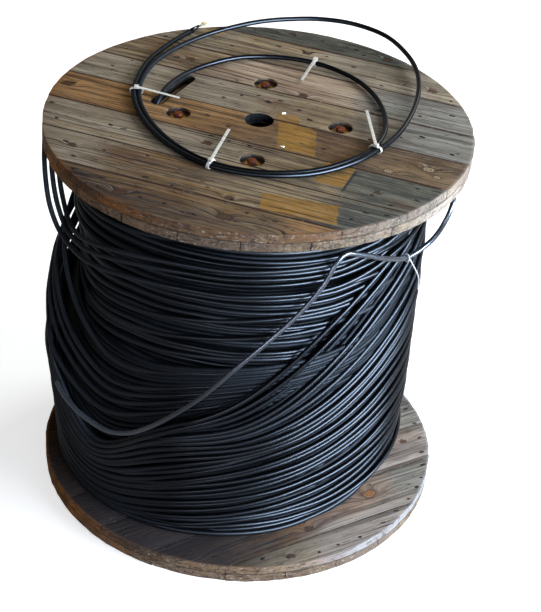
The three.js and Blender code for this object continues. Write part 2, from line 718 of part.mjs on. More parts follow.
// The thin white string that ties the outer end to the turns beside it.
const STRING_INDEX = 16;           // the point of the outer end that it holds
function stringGeometry() {
  const place = STRING_INDEX / (OUTER_END_ROUTE.length - 1);
  const centre = leadCurve.getPoint(place);
  const along = leadCurve.getTangent(place);
  const loop = new THREE.TorusGeometry(STRING_LOOP_RADIUS, STRING_RADIUS, STRING_SIDES, STRING_LOOP_SEGMENTS);
  loop.applyQuaternion(new THREE.Quaternion().setFromUnitVectors(new THREE.Vector3(0, 0, 1), along));
  loop.translate(centre.x, centre.y, centre.z);
  const out = new THREE.Vector3(centre.x, centre.y, 0).normalize();
  const knot = centre.clone().addScaledVector(out, STRING_LOOP_RADIUS);
  const end = new THREE.Vector3(...outsidePack(STRING_TAIL_END));
  const middle = knot.clone().lerp(end, 0.5).addScaledVector(out, 2 * CABLE_RADIUS);
  const tailCurve = new THREE.CatmullRomCurve3([knot, middle, end]);
  return joinAll([loop, tube(tailCurve, STRING_RADIUS, STRING_SIDES, STRING_TAIL_STEPS)]);
}
add('string_tie', stringGeometry(), 'nylon');

export default drum;
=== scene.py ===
import math
import random

import bmesh
import bpy
import numpy as np
from mathutils import Matrix, Quaternion, Vector


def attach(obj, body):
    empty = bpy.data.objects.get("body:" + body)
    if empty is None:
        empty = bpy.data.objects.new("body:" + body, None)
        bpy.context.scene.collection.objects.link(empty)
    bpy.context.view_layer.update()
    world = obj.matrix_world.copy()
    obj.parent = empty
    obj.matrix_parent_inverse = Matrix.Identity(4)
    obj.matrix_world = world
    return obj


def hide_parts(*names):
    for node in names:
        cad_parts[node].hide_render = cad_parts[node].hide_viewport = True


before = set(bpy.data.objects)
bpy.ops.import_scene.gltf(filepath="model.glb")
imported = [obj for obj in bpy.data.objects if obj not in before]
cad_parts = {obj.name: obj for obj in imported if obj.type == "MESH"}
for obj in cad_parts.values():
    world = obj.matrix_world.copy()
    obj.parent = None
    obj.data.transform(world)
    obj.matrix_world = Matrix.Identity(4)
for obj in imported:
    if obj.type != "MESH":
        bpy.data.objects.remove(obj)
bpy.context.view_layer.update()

# A wooden cable drum: board flanges, black cable in level and slack turns, a tied coil on top.
# +Z up, with the origin in the middle of the bottom face. Sizes and places are in millimetres, and
# become metres through MM. Those of the camera, the lamps, the floor and the shaders are in metres.

MM = 0.001

# ---- Camera ----
CAMERA_ELEVATION, CAMERA_ROLL = 0.59639, 0.07533  # in radians
CAMERA_TARGET, CAMERA_DISTANCE = Vector((0.0582, 0.0, 0.4622)), 4.3217
CAMERA_LENS, CAMERA_SENSOR = 102.88, 36


def place_camera():
    ce, se = math.cos(CAMERA_ELEVATION), math.sin(CAMERA_ELEVATION)
    cr, sr = math.cos(CAMERA_ROLL), math.sin(CAMERA_ROLL)
    forward = Vector((0, ce, -se))
    right, up = Vector((1, 0, 0)), Vector((0, se, ce))
    data = bpy.data.cameras.new("camera")
    data.sensor_width = CAMERA_SENSOR
    data.lens = CAMERA_LENS
    data.clip_start, data.clip_end = 0.1, 100
    cam = bpy.data.objects.new("camera", data)
    bpy.context.scene.collection.objects.link(cam)
    turn = Matrix((cr * right + sr * up, -sr * right + cr * up, -forward)).transposed()
    cam.matrix_world = Matrix.Translation(CAMERA_TARGET - CAMERA_DISTANCE * forward) @ turn.to_4x4()
    bpy.context.scene.camera = cam


place_camera()

# ---- Sizes that the CAD model also has ----
FLANGE_RADIUS = 500
DRUM_HEIGHT = 977
BOARD = 23
SEAT_GAP = 0.3
CABLE = 11.7
TIE_LIFT = 1.9  # the ties pass under the coil
COIL_Z = DRUM_HEIGHT + TIE_LIFT + CABLE / 2
PACK_BOTTOM, PACK_TOP = 2 * BOARD + SEAT_GAP, DRUM_HEIGHT - 2 * BOARD - SEAT_GAP
PACK_RADIUS = 404
PACK_PROFILE = [(0, 34), (84, 16), (214, 0)]  # heights above its foot, and how far in it lies there
ROD_CIRCLE = 188  # from the drum's axis to each rod's


# ---- Node helpers ----
class Value:
    """What a shader node gives out. Arithmetic with it adds math nodes."""

    def __init__(self, nodes, socket):
        self.nodes, self.socket = nodes, socket

    def __add__(self, other):
        return self.nodes.math("ADD", self, other)

    def __sub__(self, other):
        return self.nodes.math("SUBTRACT", self, other)

    def __rsub__(self, other):
        return self.nodes.math("SUBTRACT", other, self)

    def __mul__(self, other):
        return self.nodes.math("MULTIPLY", self, other)

    def __truediv__(self, other):
        return self.nodes.math("DIVIDE", self, other)

    def __abs__(self):
        return self.nodes.math("ABSOLUTE", self)

    __radd__, __rmul__ = __add__, __mul__


class Nodes:
    """Short ways to add nodes to a tree."""

    def __init__(self, tree):
        self.tree = tree

    def put(self, value, socket):
        if isinstance(value, Value):
            self.tree.links.new(value.socket, socket)
        else:
            socket.default_value = (*value, 1) if socket.type == "RGBA" else value

    def node(self, kind, inputs=(), output=0, **settings):
        """Adds a node. inputs are pairs of a socket's name or place and what goes into it."""
        node = self.tree.nodes.new(kind)
        for key, value in settings.items():
            setattr(node, key, value)
        for key, value in inputs:
            self.put(value, node.inputs[key])
        return Value(self, node.outputs[output])

    def math(self, operation, *values, clamp=False):
        return self.node("ShaderNodeMath", enumerate(values), operation=operation, use_clamp=clamp)

    def root(self, a, b):
        return self.math("SQRT", a * a + b * b)

    def most(self, a, b):
        return self.math("MAXIMUM", a, b)

    def coords(self, kind="Object"):
        return self.node("ShaderNodeTexCoord", output=kind)

    def mapped(self, vector, scale=(1, 1, 1), location=(0, 0, 0), turn=0.0):
        return self.node("ShaderNodeMapping", enumerate((vector, location, (0, 0, turn), scale)))

    def noise(self, vector, scale, detail=4, rough=0.5):
        inputs = (("Vector", vector), ("Scale", scale), ("Detail", detail), ("Roughness", rough))
        return self.node("ShaderNodeTexNoise", inputs, "Fac")

    def level(self, value, low, high, to_low=0.0, to_high=1.0, kind="SMOOTHSTEP"):
        """Goes from to_low to to_high while value goes from low to high, and stays at its ends."""
        inputs = enumerate((value, low, high, to_low, to_high))
        return self.node("ShaderNodeMapRange", inputs, interpolation_type=kind)

    def mix(self, share, a, b):
        """The colour a where share is 0, and b where it is 1."""
        return self.node("ShaderNodeMix", ((0, share), (6, a), (7, b)), 2, data_type="RGBA")

    def bump(self, height, strength, distance):
        inputs = (("Height", height), ("Strength", strength), ("Distance", distance))
        return self.node("ShaderNodeBump", inputs)

    def split(self, vector):
        x = self.node("ShaderNodeSeparateXYZ", [(0, vector)])
        return [Value(self, socket) for socket in x.socket.node.outputs]

    def join(self, x, y, z):
        return self.node("ShaderNodeCombineXYZ", enumerate((x, y, z)))

    def attribute(self, name):
        return self.node("ShaderNodeAttribute", output="Fac", attribute_name=name)

    def seen_directly(self):
        """1 for camera, glossy and transmitted rays, otherwise 0."""
        seen = 0.0
        for kind in ("Camera", "Glossy", "Transmission"):
            seen = self.most(seen, self.node("ShaderNodeLightPath", output=f"Is {kind} Ray"))
        return seen


class Shade(Nodes):
    """A material with one Principled shader."""

    def __init__(self, name):
        self.mat = bpy.data.materials.new(name)
        self.mat.use_nodes = True
        super().__init__(self.mat.node_tree)
        self.tree.nodes.clear()
        self.out = self.tree.nodes.new("ShaderNodeOutputMaterial")
        self.bsdf = self.tree.nodes.new("ShaderNodeBsdfPrincipled")
        self.surface = Value(self, self.bsdf.outputs[0])
        self.put(self.surface, self.out.inputs[0])

    def set(self, **values):
        for key, value in values.items():
            self.put(value, self.bsdf.inputs[key.replace("_", " ")])


# ---- Object helpers ----
def link_object(name, data):
    obj = bpy.data.objects.new(name, data)
    bpy.context.scene.collection.objects.link(obj)
    return obj


def mesh_object(name, verts, faces, mat, smooth=True, attributes=()):
    """Makes an object from points in metres and the corners of each face."""
    mesh = bpy.data.meshes.new(name)
    mesh.from_pydata(verts, [], faces)
    mesh.polygons.foreach_set("use_smooth", np.full(len(faces), smooth))
    for key, values in attributes:
        mesh.attributes.new(key, "FLOAT", "POINT").data.foreach_set("value", np.asarray(values, np.float32))
    mesh.materials.append(mat)
    return link_object(name, mesh)


def bmesh_object(name, bm, *mats, crease=None):
    """Makes an object from a bmesh. With a crease, it is smooth but for edges of more degrees."""
    mesh = bpy.data.meshes.new(name)
    bm.to_mesh(mesh)
    bm.free()
    for mat in mats:
        mesh.materials.append(mat)
    if crease:
        for face in mesh.polygons:
            face.use_smooth = True
        mesh.set_sharp_from_angle(angle=math.radians(crease))
    return link_object(name, mesh)


def cad_copy(node, merge):
    """A bmesh of a CAD part, with the triangles of each flat face joined."""
    bm = bmesh.new()
    bm.from_mesh(bpy.data.objects[node].data)
    bmesh.ops.remove_doubles(bm, verts=bm.verts, dist=merge)
    bmesh.ops.dissolve_limit(bm, angle_limit=math.radians(1), verts=bm.verts, edges=bm.edges)
    return bm


def round_edges(bm, degrees, width):
    """Bevels the edges of more than these degrees by a width in mm."""
    sharp = [e for e in bm.edges if e.is_manifold and e.calc_face_angle(0) > math.radians(degrees)]
    bmesh.ops.bevel(
        bm, geom=sharp, offset=width * MM, offset_type="OFFSET", segments=2, profile=0.6, affect="EDGES",
        clamp_overlap=True,
    )
    bmesh.ops.triangulate(bm, faces=bm.faces)


def dress(obj, slot, *nodes):
    """Rides on the drum and stands for CAD nodes, which it hides. slot is not used."""
    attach(obj, "root")
    if nodes:
        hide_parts(*nodes)
    return obj


# ---- Cable ----
def cable_material(name, specular, gloss, painted_sheen=None):
    """Black sheath, duller on the left and under other turns. The grey given last is painted sheen on its
    right side.
    """
    s = Shade(name)
    at = s.coords()
    x, strand, covered = s.split(at)[0], s.attribute("strand"), s.attribute("covered")
    dust = s.level(s.noise(at, 9, 5, 0.6), 0.45, 0.75)
    scuff = s.level(s.noise(s.mapped(at, (1, 1, 4)), 60, 3, 0.6), 0.55, 0.8)
    colour = s.mix(strand, (0.001, 0.0011, 0.0016), (0.0025, 0.0027, 0.0036))
    # Painted sheen: the base colour greys towards the right, where the light comes from.
    if painted_sheen:
        colour = s.mix(s.level(x, -0.25, 0.2), colour, painted_sheen)
    colour = s.mix(dust * 0.25, colour, (0.0055, 0.0058, 0.0072))
    colour = s.mix(scuff * 0.12, colour, (0.013, 0.0136, 0.0165))
    dull = s.most(covered, s.level(strand, 0.3, 1.0, 0.0, 0.3))
    dull = s.most(dull, s.level(x, -0.1, -0.3, 0.0, 0.9))
    rough = dull * 0.34 + s.level(s.noise(at, 6, 3), 0.3, 0.75, gloss, gloss + 0.06)
    s.set(Base_Color=colour, Roughness=rough, Specular_IOR_Level=specular)
    return s.mat


def shaded_cable_material():
    """Turns below the outer ones, as a dull and nearly glossless copy of the sheath: painted shade that keeps
    them dark between the outer turns.
    """
    s = Shade("cable_sheath_painted_shade")
    at = s.coords()
    dust = s.level(s.noise(at, 14, 4, 0.6), 0.4, 0.8)
    s.set(Base_Color=s.mix(dust, (0.0012, 0.0014, 0.002), (0.004, 0.0043, 0.0052)))
    s.set(Roughness=s.level(s.noise(at, 35, 3), 0.3, 0.75, 0.5, 0.65), Specular_IOR_Level=0.028)
    return s.mat


sheath = cable_material("cable_sheath", 0.05, 0.29)
# The outer end's sheath, with a grey painted sheen on its right side.
sheen_painted_sheath = cable_material("cable_sheath_painted_sheen", 0.22, 0.23, (0.04, 0.047, 0.066))
# Turns further in get a duller copy of the sheath as painted shade.
shaded_sheath = shaded_cable_material()


def between(t, t0, t1, a, b):
    """The point at t on the line that is at a at t0, and at b at t1."""
    return (t1 - t) / (t1 - t0) * a + (t - t0) / (t1 - t0) * b


def smooth_curve(points, closed, samples):
    """Catmull-Rom through points, centripetal, with the same number of samples in each span."""
    p = np.asarray(points, float)
    ends = (p[-1], p[:2]) if closed else (2 * p[0] - p[1], 2 * p[-1] - p[-2])
    p = np.vstack([ends[0], p, ends[1]])
    out = []
    for p0, p1, p2, p3 in zip(p, p[1:], p[2:], p[3:]):
        t0 = 0.0
        t1 = t0 + np.linalg.norm(p1 - p0) ** 0.5
        t2 = t1 + np.linalg.norm(p2 - p1) ** 0.5
        t3 = t2 + np.linalg.norm(p3 - p2) ** 0.5
        t = np.linspace(t1, t2, samples, endpoint=False)[:, None]
        a1, a2, a3 = between(t, t0, t1, p0, p1), between(t, t1, t2, p1, p2), between(t, t2, t3, p2, p3)
        out.append(between(t, t1, t2, between(t, t0, t2, a1, a2), between(t, t1, t3, a2, a3)))
    return np.concatenate(out if closed else [*out, p[-2:-1]])


# The free ends' routes are the CAD model's. Heights are from the middle of a cable on the ties.
RISE_FROM_SLOT = [(-246, 36, -47), (-245, 39, -29), (-242, 49, -14), (-236, 67, -3.5)]
INNER_TURN = [
    (-220, 126, 0), (-183, 196, 0), (-128, 255, 0), (-56, 301, 0), (34, 316, 0), (122, 300, 0),
    (187, 260, 0), (234, 211, 0), (273, 133, 0), (292, 34, 0), (286, -42, 0),
]
TIED_ARC = [
    (262, -108, 0), (221, -161, 0), (153, -217, 0), (87, -245, 0), (-3, -253, 0), (-94, -229, 0),
    (-167, -174, 0), (-229, -92, 0), (-271, 4, 0), (-287, 84, 0), (-283, 169, 0),
]
OUTER_ARC = [
    (-263, 243, 1), (-225, 313, 3), (-163, 385, 7), (-90, 443, 11), (-15, 483, 15), (62, 506, 17),
    (139, 515, 18), (217, 500, 18), (294, 449, 17), (344, 363, 15), (368, 283, 12), (373, 192, 9),
    (357, 80, 6), (327, -20, 3), (300, -74, 1),
]
COIL_TAIL = [(-280, 247, 0), (-252, 319, 0), (-217, 388, 0)]
CABLE_END = (-196, 421, 0)
COIL_CENTRE = (5, 35)
BESIDE = CABLE + 0.6


def beside_first(point):
    """Where the second turn lies beside the first one."""
    away = Vector((point[0] - COIL_CENTRE[0], point[1] - COIL_CENTRE[1]))
    away.length = away.length + BESIDE
    return (COIL_CENTRE[0] + away.x, COIL_CENTRE[1] + away.y, point[2])


COIL_PLACES = [
    *RISE_FROM_SLOT, *INNER_TURN, *TIED_ARC, *OUTER_ARC, *map(beside_first, TIED_ARC), *COIL_TAIL,
    CABLE_END,
]
COIL_ROUTE = [(x, y, COIL_Z + rise) for x, y, rise in COIL_PLACES]
# Each point is a direction in degrees, a distance from the pack, and a height.
OUTER_END_PLACES = [
    (-152.04, 93, 355), (-147.72, 90.4, 343), (-138.65, 84.9, 333), (-128.36, 79.4, 335),
    (-121.11, 76, 358), (-114.19, 71.8, 400), (-107.08, 62.6, 452), (-100.1, 52.1, 507),
    (-90.77, 40, 591), (-81.44, 32.9, 667), (-72.78, 28.4, 736), (-66.59, 26.4, 798),
    (-63.32, 25.8, 845), (-60.32, 24.2, 864), (-54.48, 21.1, 850), (-45, 20.3, 816),
    (-33.54, 23.1, 782), (-28.32, 34.5, 787), (-24.78, 54.2, 812), (-23.23, 72.6, 859),
    (-20.7, 77, 894), (-13.68, 61.2, 914), (-6.54, 34.9, 917), (-0.68, 18, 905),
]


def outside_pack(degrees, distance, height):
    a, r = math.radians(degrees), PACK_RADIUS + distance
    return (r * math.cos(a), r * math.sin(a), height)


OUTER_END_ROUTE = [outside_pack(*place) for place in OUTER_END_PLACES]


def cord_curve(name, points, mat):
    """A cable along points in metres, as one open poly spline."""
    data = bpy.data.curves.new(name, "CURVE")
    data.dimensions = "3D"
    data.bevel_depth = CABLE * MM / 2
    data.bevel_resolution = 3
    data.use_fill_caps = True
    spline = data.splines.new("POLY")
    spline.points.add(len(points) - 1)
    for place, point in zip(spline.points, points):
        place.co = (*point, 1)
    spline.use_smooth = True
    data.materials.append(mat)
    return link_object(name, data)


coil_line = smooth_curve(np.array(COIL_ROUTE) * MM, False, 8)
coil = cord_curve("coil_cable", coil_line, sheath)
lead_line = smooth_curve(np.array(OUTER_END_ROUTE) * MM, False, 10)
lead = cord_curve("outer_end", lead_line, sheen_painted_sheath)
dress(coil, "cable_sheath", "top_coil_cable")
dress(lead, "cable_sheath", "outer_end_cable")

# ---- Turns on the barrel ----
# Functions named _lines give closed loops as an array (loops, steps, 3) in metres. sink is how far
# a loop lies under the outermost turns, and wander how far it strays up and down.
rng = np.random.default_rng(7)


def periodic_spline(knots, values, at):
    """Cubic spline with a period of 360 degrees. values is (knots, loops), the result (at, loops)."""
    knots, values = np.asarray(knots, float), np.asarray(values, float)
    n = len(knots)
    h = np.diff(np.append(knots, knots[0] + 360))
    a = np.zeros((n, n))
    rhs = np.zeros_like(values)
    for i in range(n):
        j = (i + 1) % n
        a[i, i - 1] += h[i - 1]
        a[i, i] += 2 * (h[i - 1] + h[i])
        a[i, j] += h[i]
        rhs[i] = 6 * ((values[j] - values[i]) / h[i] - (values[i] - values[i - 1]) / h[i - 1])
    m = np.linalg.solve(a, rhs)
    u = (np.asarray(at) - knots[0]) % 360 + knots[0]
    i = np.searchsorted(knots, u, side="right") - 1
    j = (i + 1) % n
    x, hi = (u - knots[i])[:, None], h[i][:, None]
    return (
        m[i] * (hi - x) ** 3 / (6 * hi) + m[j] * x ** 3 / (6 * hi)
        + (values[i] / hi - m[i] * hi / 6) * (hi - x) + (values[j] / hi - m[j] * hi / 6) * x
    )


def pack_radius(z):
    return PACK_RADIUS - np.interp(z - PACK_BOTTOM, *zip(*PACK_PROFILE))


# The slack turns hang off centre. Each ring is a height above the pack's foot, the place of its
# centre and how far it stands out from the pack.
LOOSE_RINGS = np.array([(0, -45, 20, 20), (331, -44, 0, 51), (610, -22, 0, 28), (820, -42, 0, 38)], float)


def loose_radius(angle, z):
    """The outside of the slack turns, as in the CAD model, in mm."""
    x, y, r = (np.interp(z - PACK_BOTTOM, LOOSE_RINGS[:, 0], LOOSE_RINGS[:, k]) for k in (1, 2, 3))
    along = x * np.cos(angle) + y * np.sin(angle)
    across = x * np.sin(angle) - y * np.cos(angle)
    ring = along + np.sqrt((PACK_RADIUS + r) ** 2 - across ** 2)
    return np.maximum(pack_radius(z) + CABLE, ring)


def tubes(name, lines, sides, mat, strand, covered):
    """Joins closed tubes along lines into one object. strand is one number a loop, covered one a step."""
    loops, steps, _ = lines.shape
    tangent = np.roll(lines, -1, 1) - np.roll(lines, 1, 1)
    tangent /= np.linalg.norm(tangent, axis=2, keepdims=True)
    out = lines * (1, 1, 0)
    out /= np.linalg.norm(out, axis=2, keepdims=True)
    out -= (out * tangent).sum(2, keepdims=True) * tangent
    out /= np.linalg.norm(out, axis=2, keepdims=True)
    side = np.cross(tangent, out)
    a = np.arange(sides) * 2 * np.pi / sides
    ring = np.cos(a)[:, None] * out[:, :, None, :] + np.sin(a)[:, None] * side[:, :, None, :]
    verts = (lines[:, :, None, :] + CABLE / 2 * MM * ring).reshape(-1, 3)
    loop, i, k = np.meshgrid(np.arange(loops), np.arange(steps), np.arange(sides), indexing="ij")

    def corner(i, k):
        return ((loop * steps + i % steps) * sides + k % sides).ravel()

    faces = np.stack([corner(i, k), corner(i + 1, k), corner(i + 1, k + 1), corner(i, k + 1)], 1)
    marks = [("strand", np.repeat(strand, steps * sides)), ("covered", np.repeat(covered.ravel(), sides))]
    return mesh_object(name, verts, faces, mat, True, marks)


def directions(steps):
    """The steps of a loop, in degrees and in radians."""
    degrees = np.arange(steps) * 360 / steps
    return degrees, np.radians(degrees)


def waves(own, a, shift, count):
    """A slow wander up and down, by the random numbers own of each loop."""
    return sum(own[k] * np.sin((k + 1) * a + shift * own[k - 1]) for k in range(count))


def to_lines(angle, r, z):
    """(steps,) angles in radians and (steps, loops) radii and heights, in mm, to loops in metres."""
    x, y = r * np.cos(angle)[:, None], r * np.sin(angle)[:, None]
    return np.stack([x, y, z], -1).transpose(1, 0, 2) * MM


def spread(count, low, high, tight, wide):
    """Heights from low to high with uneven steps."""
    steps = rng.uniform(tight, wide, count)
    at = np.concatenate([[0], np.cumsum(steps)])
    return low + (high - low) * at / at[-1]


# Heights, and how far the level turns sag out to the left there.
LEVEL_BULGE = [(300, 0), (520, 4), (600, 0), (690, 2), (760, 17), (930, 18)]


def level_bulge(angle, z):
    return np.interp(z, *zip(*LEVEL_BULGE)) * np.maximum(0, -np.cos(angle)) ** 2


def turned(degrees):
    """Angles from -180 to 180."""
    return (np.asarray(degrees) + 180) % 360 - 180


def keep_between_flanges(z):
    keep_off = CABLE / 2 + 0.3
    return np.clip(z, PACK_BOTTOM + keep_off, PACK_TOP - keep_off)


# The level turns climb to the right of the front and dip on the far left.
LEVEL_LIFT = [
    (-180, -60), (-165, -62), (-150, -40), (-130, -14), (-105, 0), (-60, 4), (-45, 16), (-32, 52),
    (-10, 74), (40, 70), (100, 40), (150, -20), (180, -60),
]
CLIMB_FOOT, CLIMB_HEIGHT = 330, 600  # where that begins and how far up it goes; it is most halfway
CALM, CALMING = 6, 70  # level this close to a flange, and less and less so over the next stretch


def level_lines(count, steps, sink, wander, tight):
    """Turns all the way up the pack. tight is the smallest share of a mean step between two."""
    degrees, angle = directions(steps)
    a, own = angle[:, None], rng.uniform(-1, 1, (4, count))
    first, last = PACK_BOTTOM + CABLE / 2 + 0.5, PACK_TOP - CABLE / 2 - 1.2
    base = spread(count - 1, first, last, tight, 2 - tight)[None, :]
    lift = np.interp(turned(degrees), *zip(*LEVEL_LIFT))[:, None]
    swell = np.sin(np.pi * np.clip((base - CLIMB_FOOT) / CLIMB_HEIGHT, 0, 1)) ** 0.8
    phase = base * 0.013
    sway = np.sin(a + phase) + 0.6 * np.sin(2 * a - 1.7 * phase + 1) + 0.35 * np.sin(3 * a + 2.3 * phase)
    sway = wander * (sway + 0.6 * waves(own, a, 6, 3))
    off = np.minimum(base - PACK_BOTTOM, PACK_TOP - base) - CALM
    z = keep_between_flanges(base + (lift * swell + sway) * np.clip(off / CALMING, 0, 1))
    r = pack_radius(z) - CABLE / 2 - sink + level_bulge(a, z)
    r = r + own[3] * 1.6 - 1.6 + 1.2 * np.sin(2 * a + 40 * own[0])
    return to_lines(angle, r, z)


# Slack turns. Each row is one turn: its height at each of these directions. A turn's place is 0
# on the first row and 1 on the last one.
SLACK_AT = [-180, -160, -140, -115, -90, -65, -40, -10, 30, 80, 130, 160]
SLACK_ROWS = np.array([
    [54, 53, 53, 53, 54, 62, 86, 106, 110, 92, 70, 58],
    [70, 58, 52, 66, 100, 112, 140, 186, 215, 180, 120, 85],
    [100, 75, 60, 108, 150, 188, 230, 268, 290, 250, 180, 130],
    [160, 120, 105, 160, 210, 252, 308, 350, 380, 340, 260, 200],
    [240, 180, 150, 220, 300, 362, 430, 490, 530, 480, 380, 300],
    [350, 270, 205, 312, 368, 430, 520, 610, 650, 600, 510, 430],
    [455, 336, 228, 345, 415, 535, 680, 790, 830, 770, 655, 540],
    [545, 395, 255, 368, 485, 640, 768, 868, 890, 860, 780, 660],
], float)
SLACK_PLACES = [0, 0.1, 0.2, 0.32, 0.5, 0.7, 0.86, 1]
OUTER_PLACES = [
    0.015, 0.05, 0.072, 0.11, 0.14, 0.165, 0.205, 0.245, 0.27, 0.315, 0.345, 0.38, 0.425, 0.45, 0.5, 0.545,
    0.57, 0.62, 0.655, 0.7, 0.72, 0.775, 0.83, 0.86, 0.955, 1.0,
]
SLACK_REACH = 430  # about how far the slack turns lie from the drum's axis


def slack_lines(places, steps, sink, wander, proud=()):
    """Turns off centre. proud says which stand out further: turn, direction, how far, how wide."""
    degrees, angle = directions(steps)
    a = angle[:, None]
    rows = np.array([np.interp(places, SLACK_PLACES, row) for row in SLACK_ROWS.T])
    z = periodic_spline(SLACK_AT, rows, degrees)
    own = rng.uniform(-1, 1, (4, len(places)))
    gap = np.gradient(z, axis=1)
    loose = np.clip((gap - 5) / 10, 0, 1.2)
    z = keep_between_flanges(z + wander * loose * waves(own, a, 5, 4))
    slope = (np.roll(z, -1, 0) - np.roll(z, 1, 0)) / (2 * SLACK_REACH * math.radians(360 / steps))
    across = gap / np.sqrt(1 + slope ** 2)
    under = np.sqrt(np.clip(CABLE ** 2 - across ** 2, 0, None))
    r = loose_radius(a, z) - CABLE / 2 - sink - under * (np.arange(len(places)) % 2)
    r = r - (2.5 + 2.5 * own[3] * np.cos(a + 9 * own[0])) * np.clip(loose, 0, 1)
    for turn, place, far, wide in proud:
        r[:, turn] += far * np.exp(-(turned(degrees - place) / wide) ** 2)
    return to_lines(angle, r, z)


# Turns between the level ones and the slack ones. Each row is a direction, then the height and the
# distance from the axis of the first turn, and of the last one. Some stand out on the left.
STANDING_OUT = [
    (-180, 536, 482, 676, 446), (-172, 474, 491, 632, 447), (-165, 428, 489, 585, 442),
    (-150, 368, 464, 520, 430), (-135, 350, 446, 485, 422), (-120, 390, 432, 500, 416),
    (-105, 435, 420, 530, 412), (-90, 468, 412, 550, 411), (-75, 490, 411, 565, 411),
    (-60, 505, 411, 580, 411), (-45, 525, 408, 605, 408), (-30, 560, 400, 650, 400),
    (-10, 590, 390, 690, 390), (20, 600, 388, 700, 388), (60, 610, 388, 700, 388),
    (100, 640, 392, 705, 392), (140, 690, 425, 735, 410), (160, 668, 450, 735, 436),
    (172, 600, 468, 710, 442),
]
SAGGING = [
    (-180, 440, 448, 556, 410), (-165, 378, 458, 530, 412), (-150, 300, 452, 520, 414),
    (-135, 270, 436, 520, 416), (-120, 312, 424, 525, 413), (-105, 380, 416, 545, 411),
    (-90, 440, 410, 562, 411), (-75, 462, 410, 575, 411), (-60, 480, 408, 588, 409),
    (-45, 500, 404, 610, 405), (-30, 540, 398, 650, 398), (-10, 580, 390, 690, 390),
    (20, 600, 388, 700, 388), (60, 600, 388, 700, 388), (100, 600, 390, 700, 390),
    (140, 570, 405, 680, 400), (160, 520, 425, 630, 406),
]
# The three turns that hang free on the left, close to the CAD model's. Each row is a direction,
# then for each turn its height and its distance from the pack.
HANGING = [
    (-180, (914, 88), (914, 72), (900, 57)), (-174, (880, 89), (880, 73), (862, 57)),
    (-170, (826, 86), (832, 70), (818, 53)), (-166, (776, 79), (786, 63), (784, 47)),
    (-161, (733, 64), (752, 53), (766, 44)), (-155, (718, 50), (742, 46), (762, 43)),
    (-145, (722, 42), (752, 42), (776, 42)), (-130, (742, 31), (780, 31), (803, 31)),
    (-110, (757, 14), (800, 14), (820, 14)), (-90, (760, 8), (804, 8), (824, 8)),
    (-60, (771, 8), (814, 8), (834, 8)), (-30, (815, 8), (858, 8), (844, 8)),
    (0, (838, 8), (874, 8), (856, 8)), (40, (850, 10), (882, 10), (866, 10)),
    (90, (868, 24), (895, 24), (880, 24)), (130, (893, 52), (908, 50), (893, 44)),
    (160, (910, 80), (914, 66), (900, 54)),
]


def hanging_lines(per_span):
    loops = []
    for turn in (1, 2, 3):
        points = [outside_pack(row[0], row[turn][1], row[turn][0]) for row in HANGING]
        loops.append(smooth_curve(points, True, per_span) * MM)
    return np.array(loops)


def free_lines(rows, shares, steps, wander):
    """Turns at these shares of the way from the first turn of the rows to the last one."""
    degrees, angle = directions(steps)
    shares, count = np.asarray(shares), len(shares)
    table = np.array(rows, float)
    z = table[:, 1:2] + shares * (table[:, 3:4] - table[:, 1:2])
    r = table[:, 2:3] + shares * (table[:, 4:5] - table[:, 2:3])
    z, r = (periodic_spline(table[:, 0], values, degrees) for values in (z, r))
    own = rng.uniform(-1, 1, (4, count))
    a = angle[:, None]
    z = z + wander * waves(own, a, 5, 3)
    out = np.clip((r - 405) / 30, 0, 1)
    r = np.minimum(r + out * 4 * own[3] * np.cos(a * 2 + own[0]), FLANGE_RADIUS - CABLE / 2 - 1)
    return to_lines(angle, r, keep_between_flanges(z))


STRAYING_FROM, STRAYING_TO = 500, 868  # their heights


def straying_lines(count, steps):
    """Level turns that cross the ones beneath them."""
    angle = directions(steps)[1]
    a, own = angle[:, None], rng.uniform(-1, 1, (4, count))
    base = np.linspace(STRAYING_FROM, STRAYING_TO, count) + rng.uniform(-10, 10, count)
    lean = 22 + 14 * own[1]
    z = base + lean * np.sin(a + 2.2 + 0.5 * own[0]) + 9 * own[2] * np.sin(2 * a + 3 * own[3])
    z = keep_between_flanges(z + np.maximum(0, -np.cos(a - 0.35)) ** 3 * -34)
    r = PACK_RADIUS + level_bulge(a, z) - 1.5 + 2 * own[3] * np.sin(2 * a)
    return to_lines(angle, r, z)


GIVE_WAY, GIVE_WAY_OVER = 6, 12  # how far turns go in under the slack ones, and over what height


def below_slack(lines):
    """1 where the slack turns lie over a line, otherwise 0."""
    edge = periodic_spline(SLACK_AT, SLACK_ROWS[-1][:, None], directions(lines.shape[1])[0])[:, 0]
    return np.clip((edge - lines[:, :, 2] / MM) / GIVE_WAY_OVER, 0, 1)


def wound(name, lines, sides, mat, *nodes, beneath=False):
    """Makes turns from lines. With beneath, they give way where the slack turns lie over them."""
    covered = below_slack(lines) if beneath else np.zeros(lines.shape[:2])
    inward = GIVE_WAY * MM * covered / np.linalg.norm(lines[:, :, :2], axis=2)
    lines = lines * np.stack([1 - inward, 1 - inward, np.ones_like(inward)], -1)
    made = tubes(name, lines, sides, mat, rng.uniform(0, 1, len(lines)), covered)
    return dress(made, "cable_sheath", *nodes)


def shaken(count, low, high, by):
    """Places from low to high in nearly even steps."""
    return np.sort(np.linspace(low, high, count) + rng.uniform(-by, by, count)).clip(0, 1)


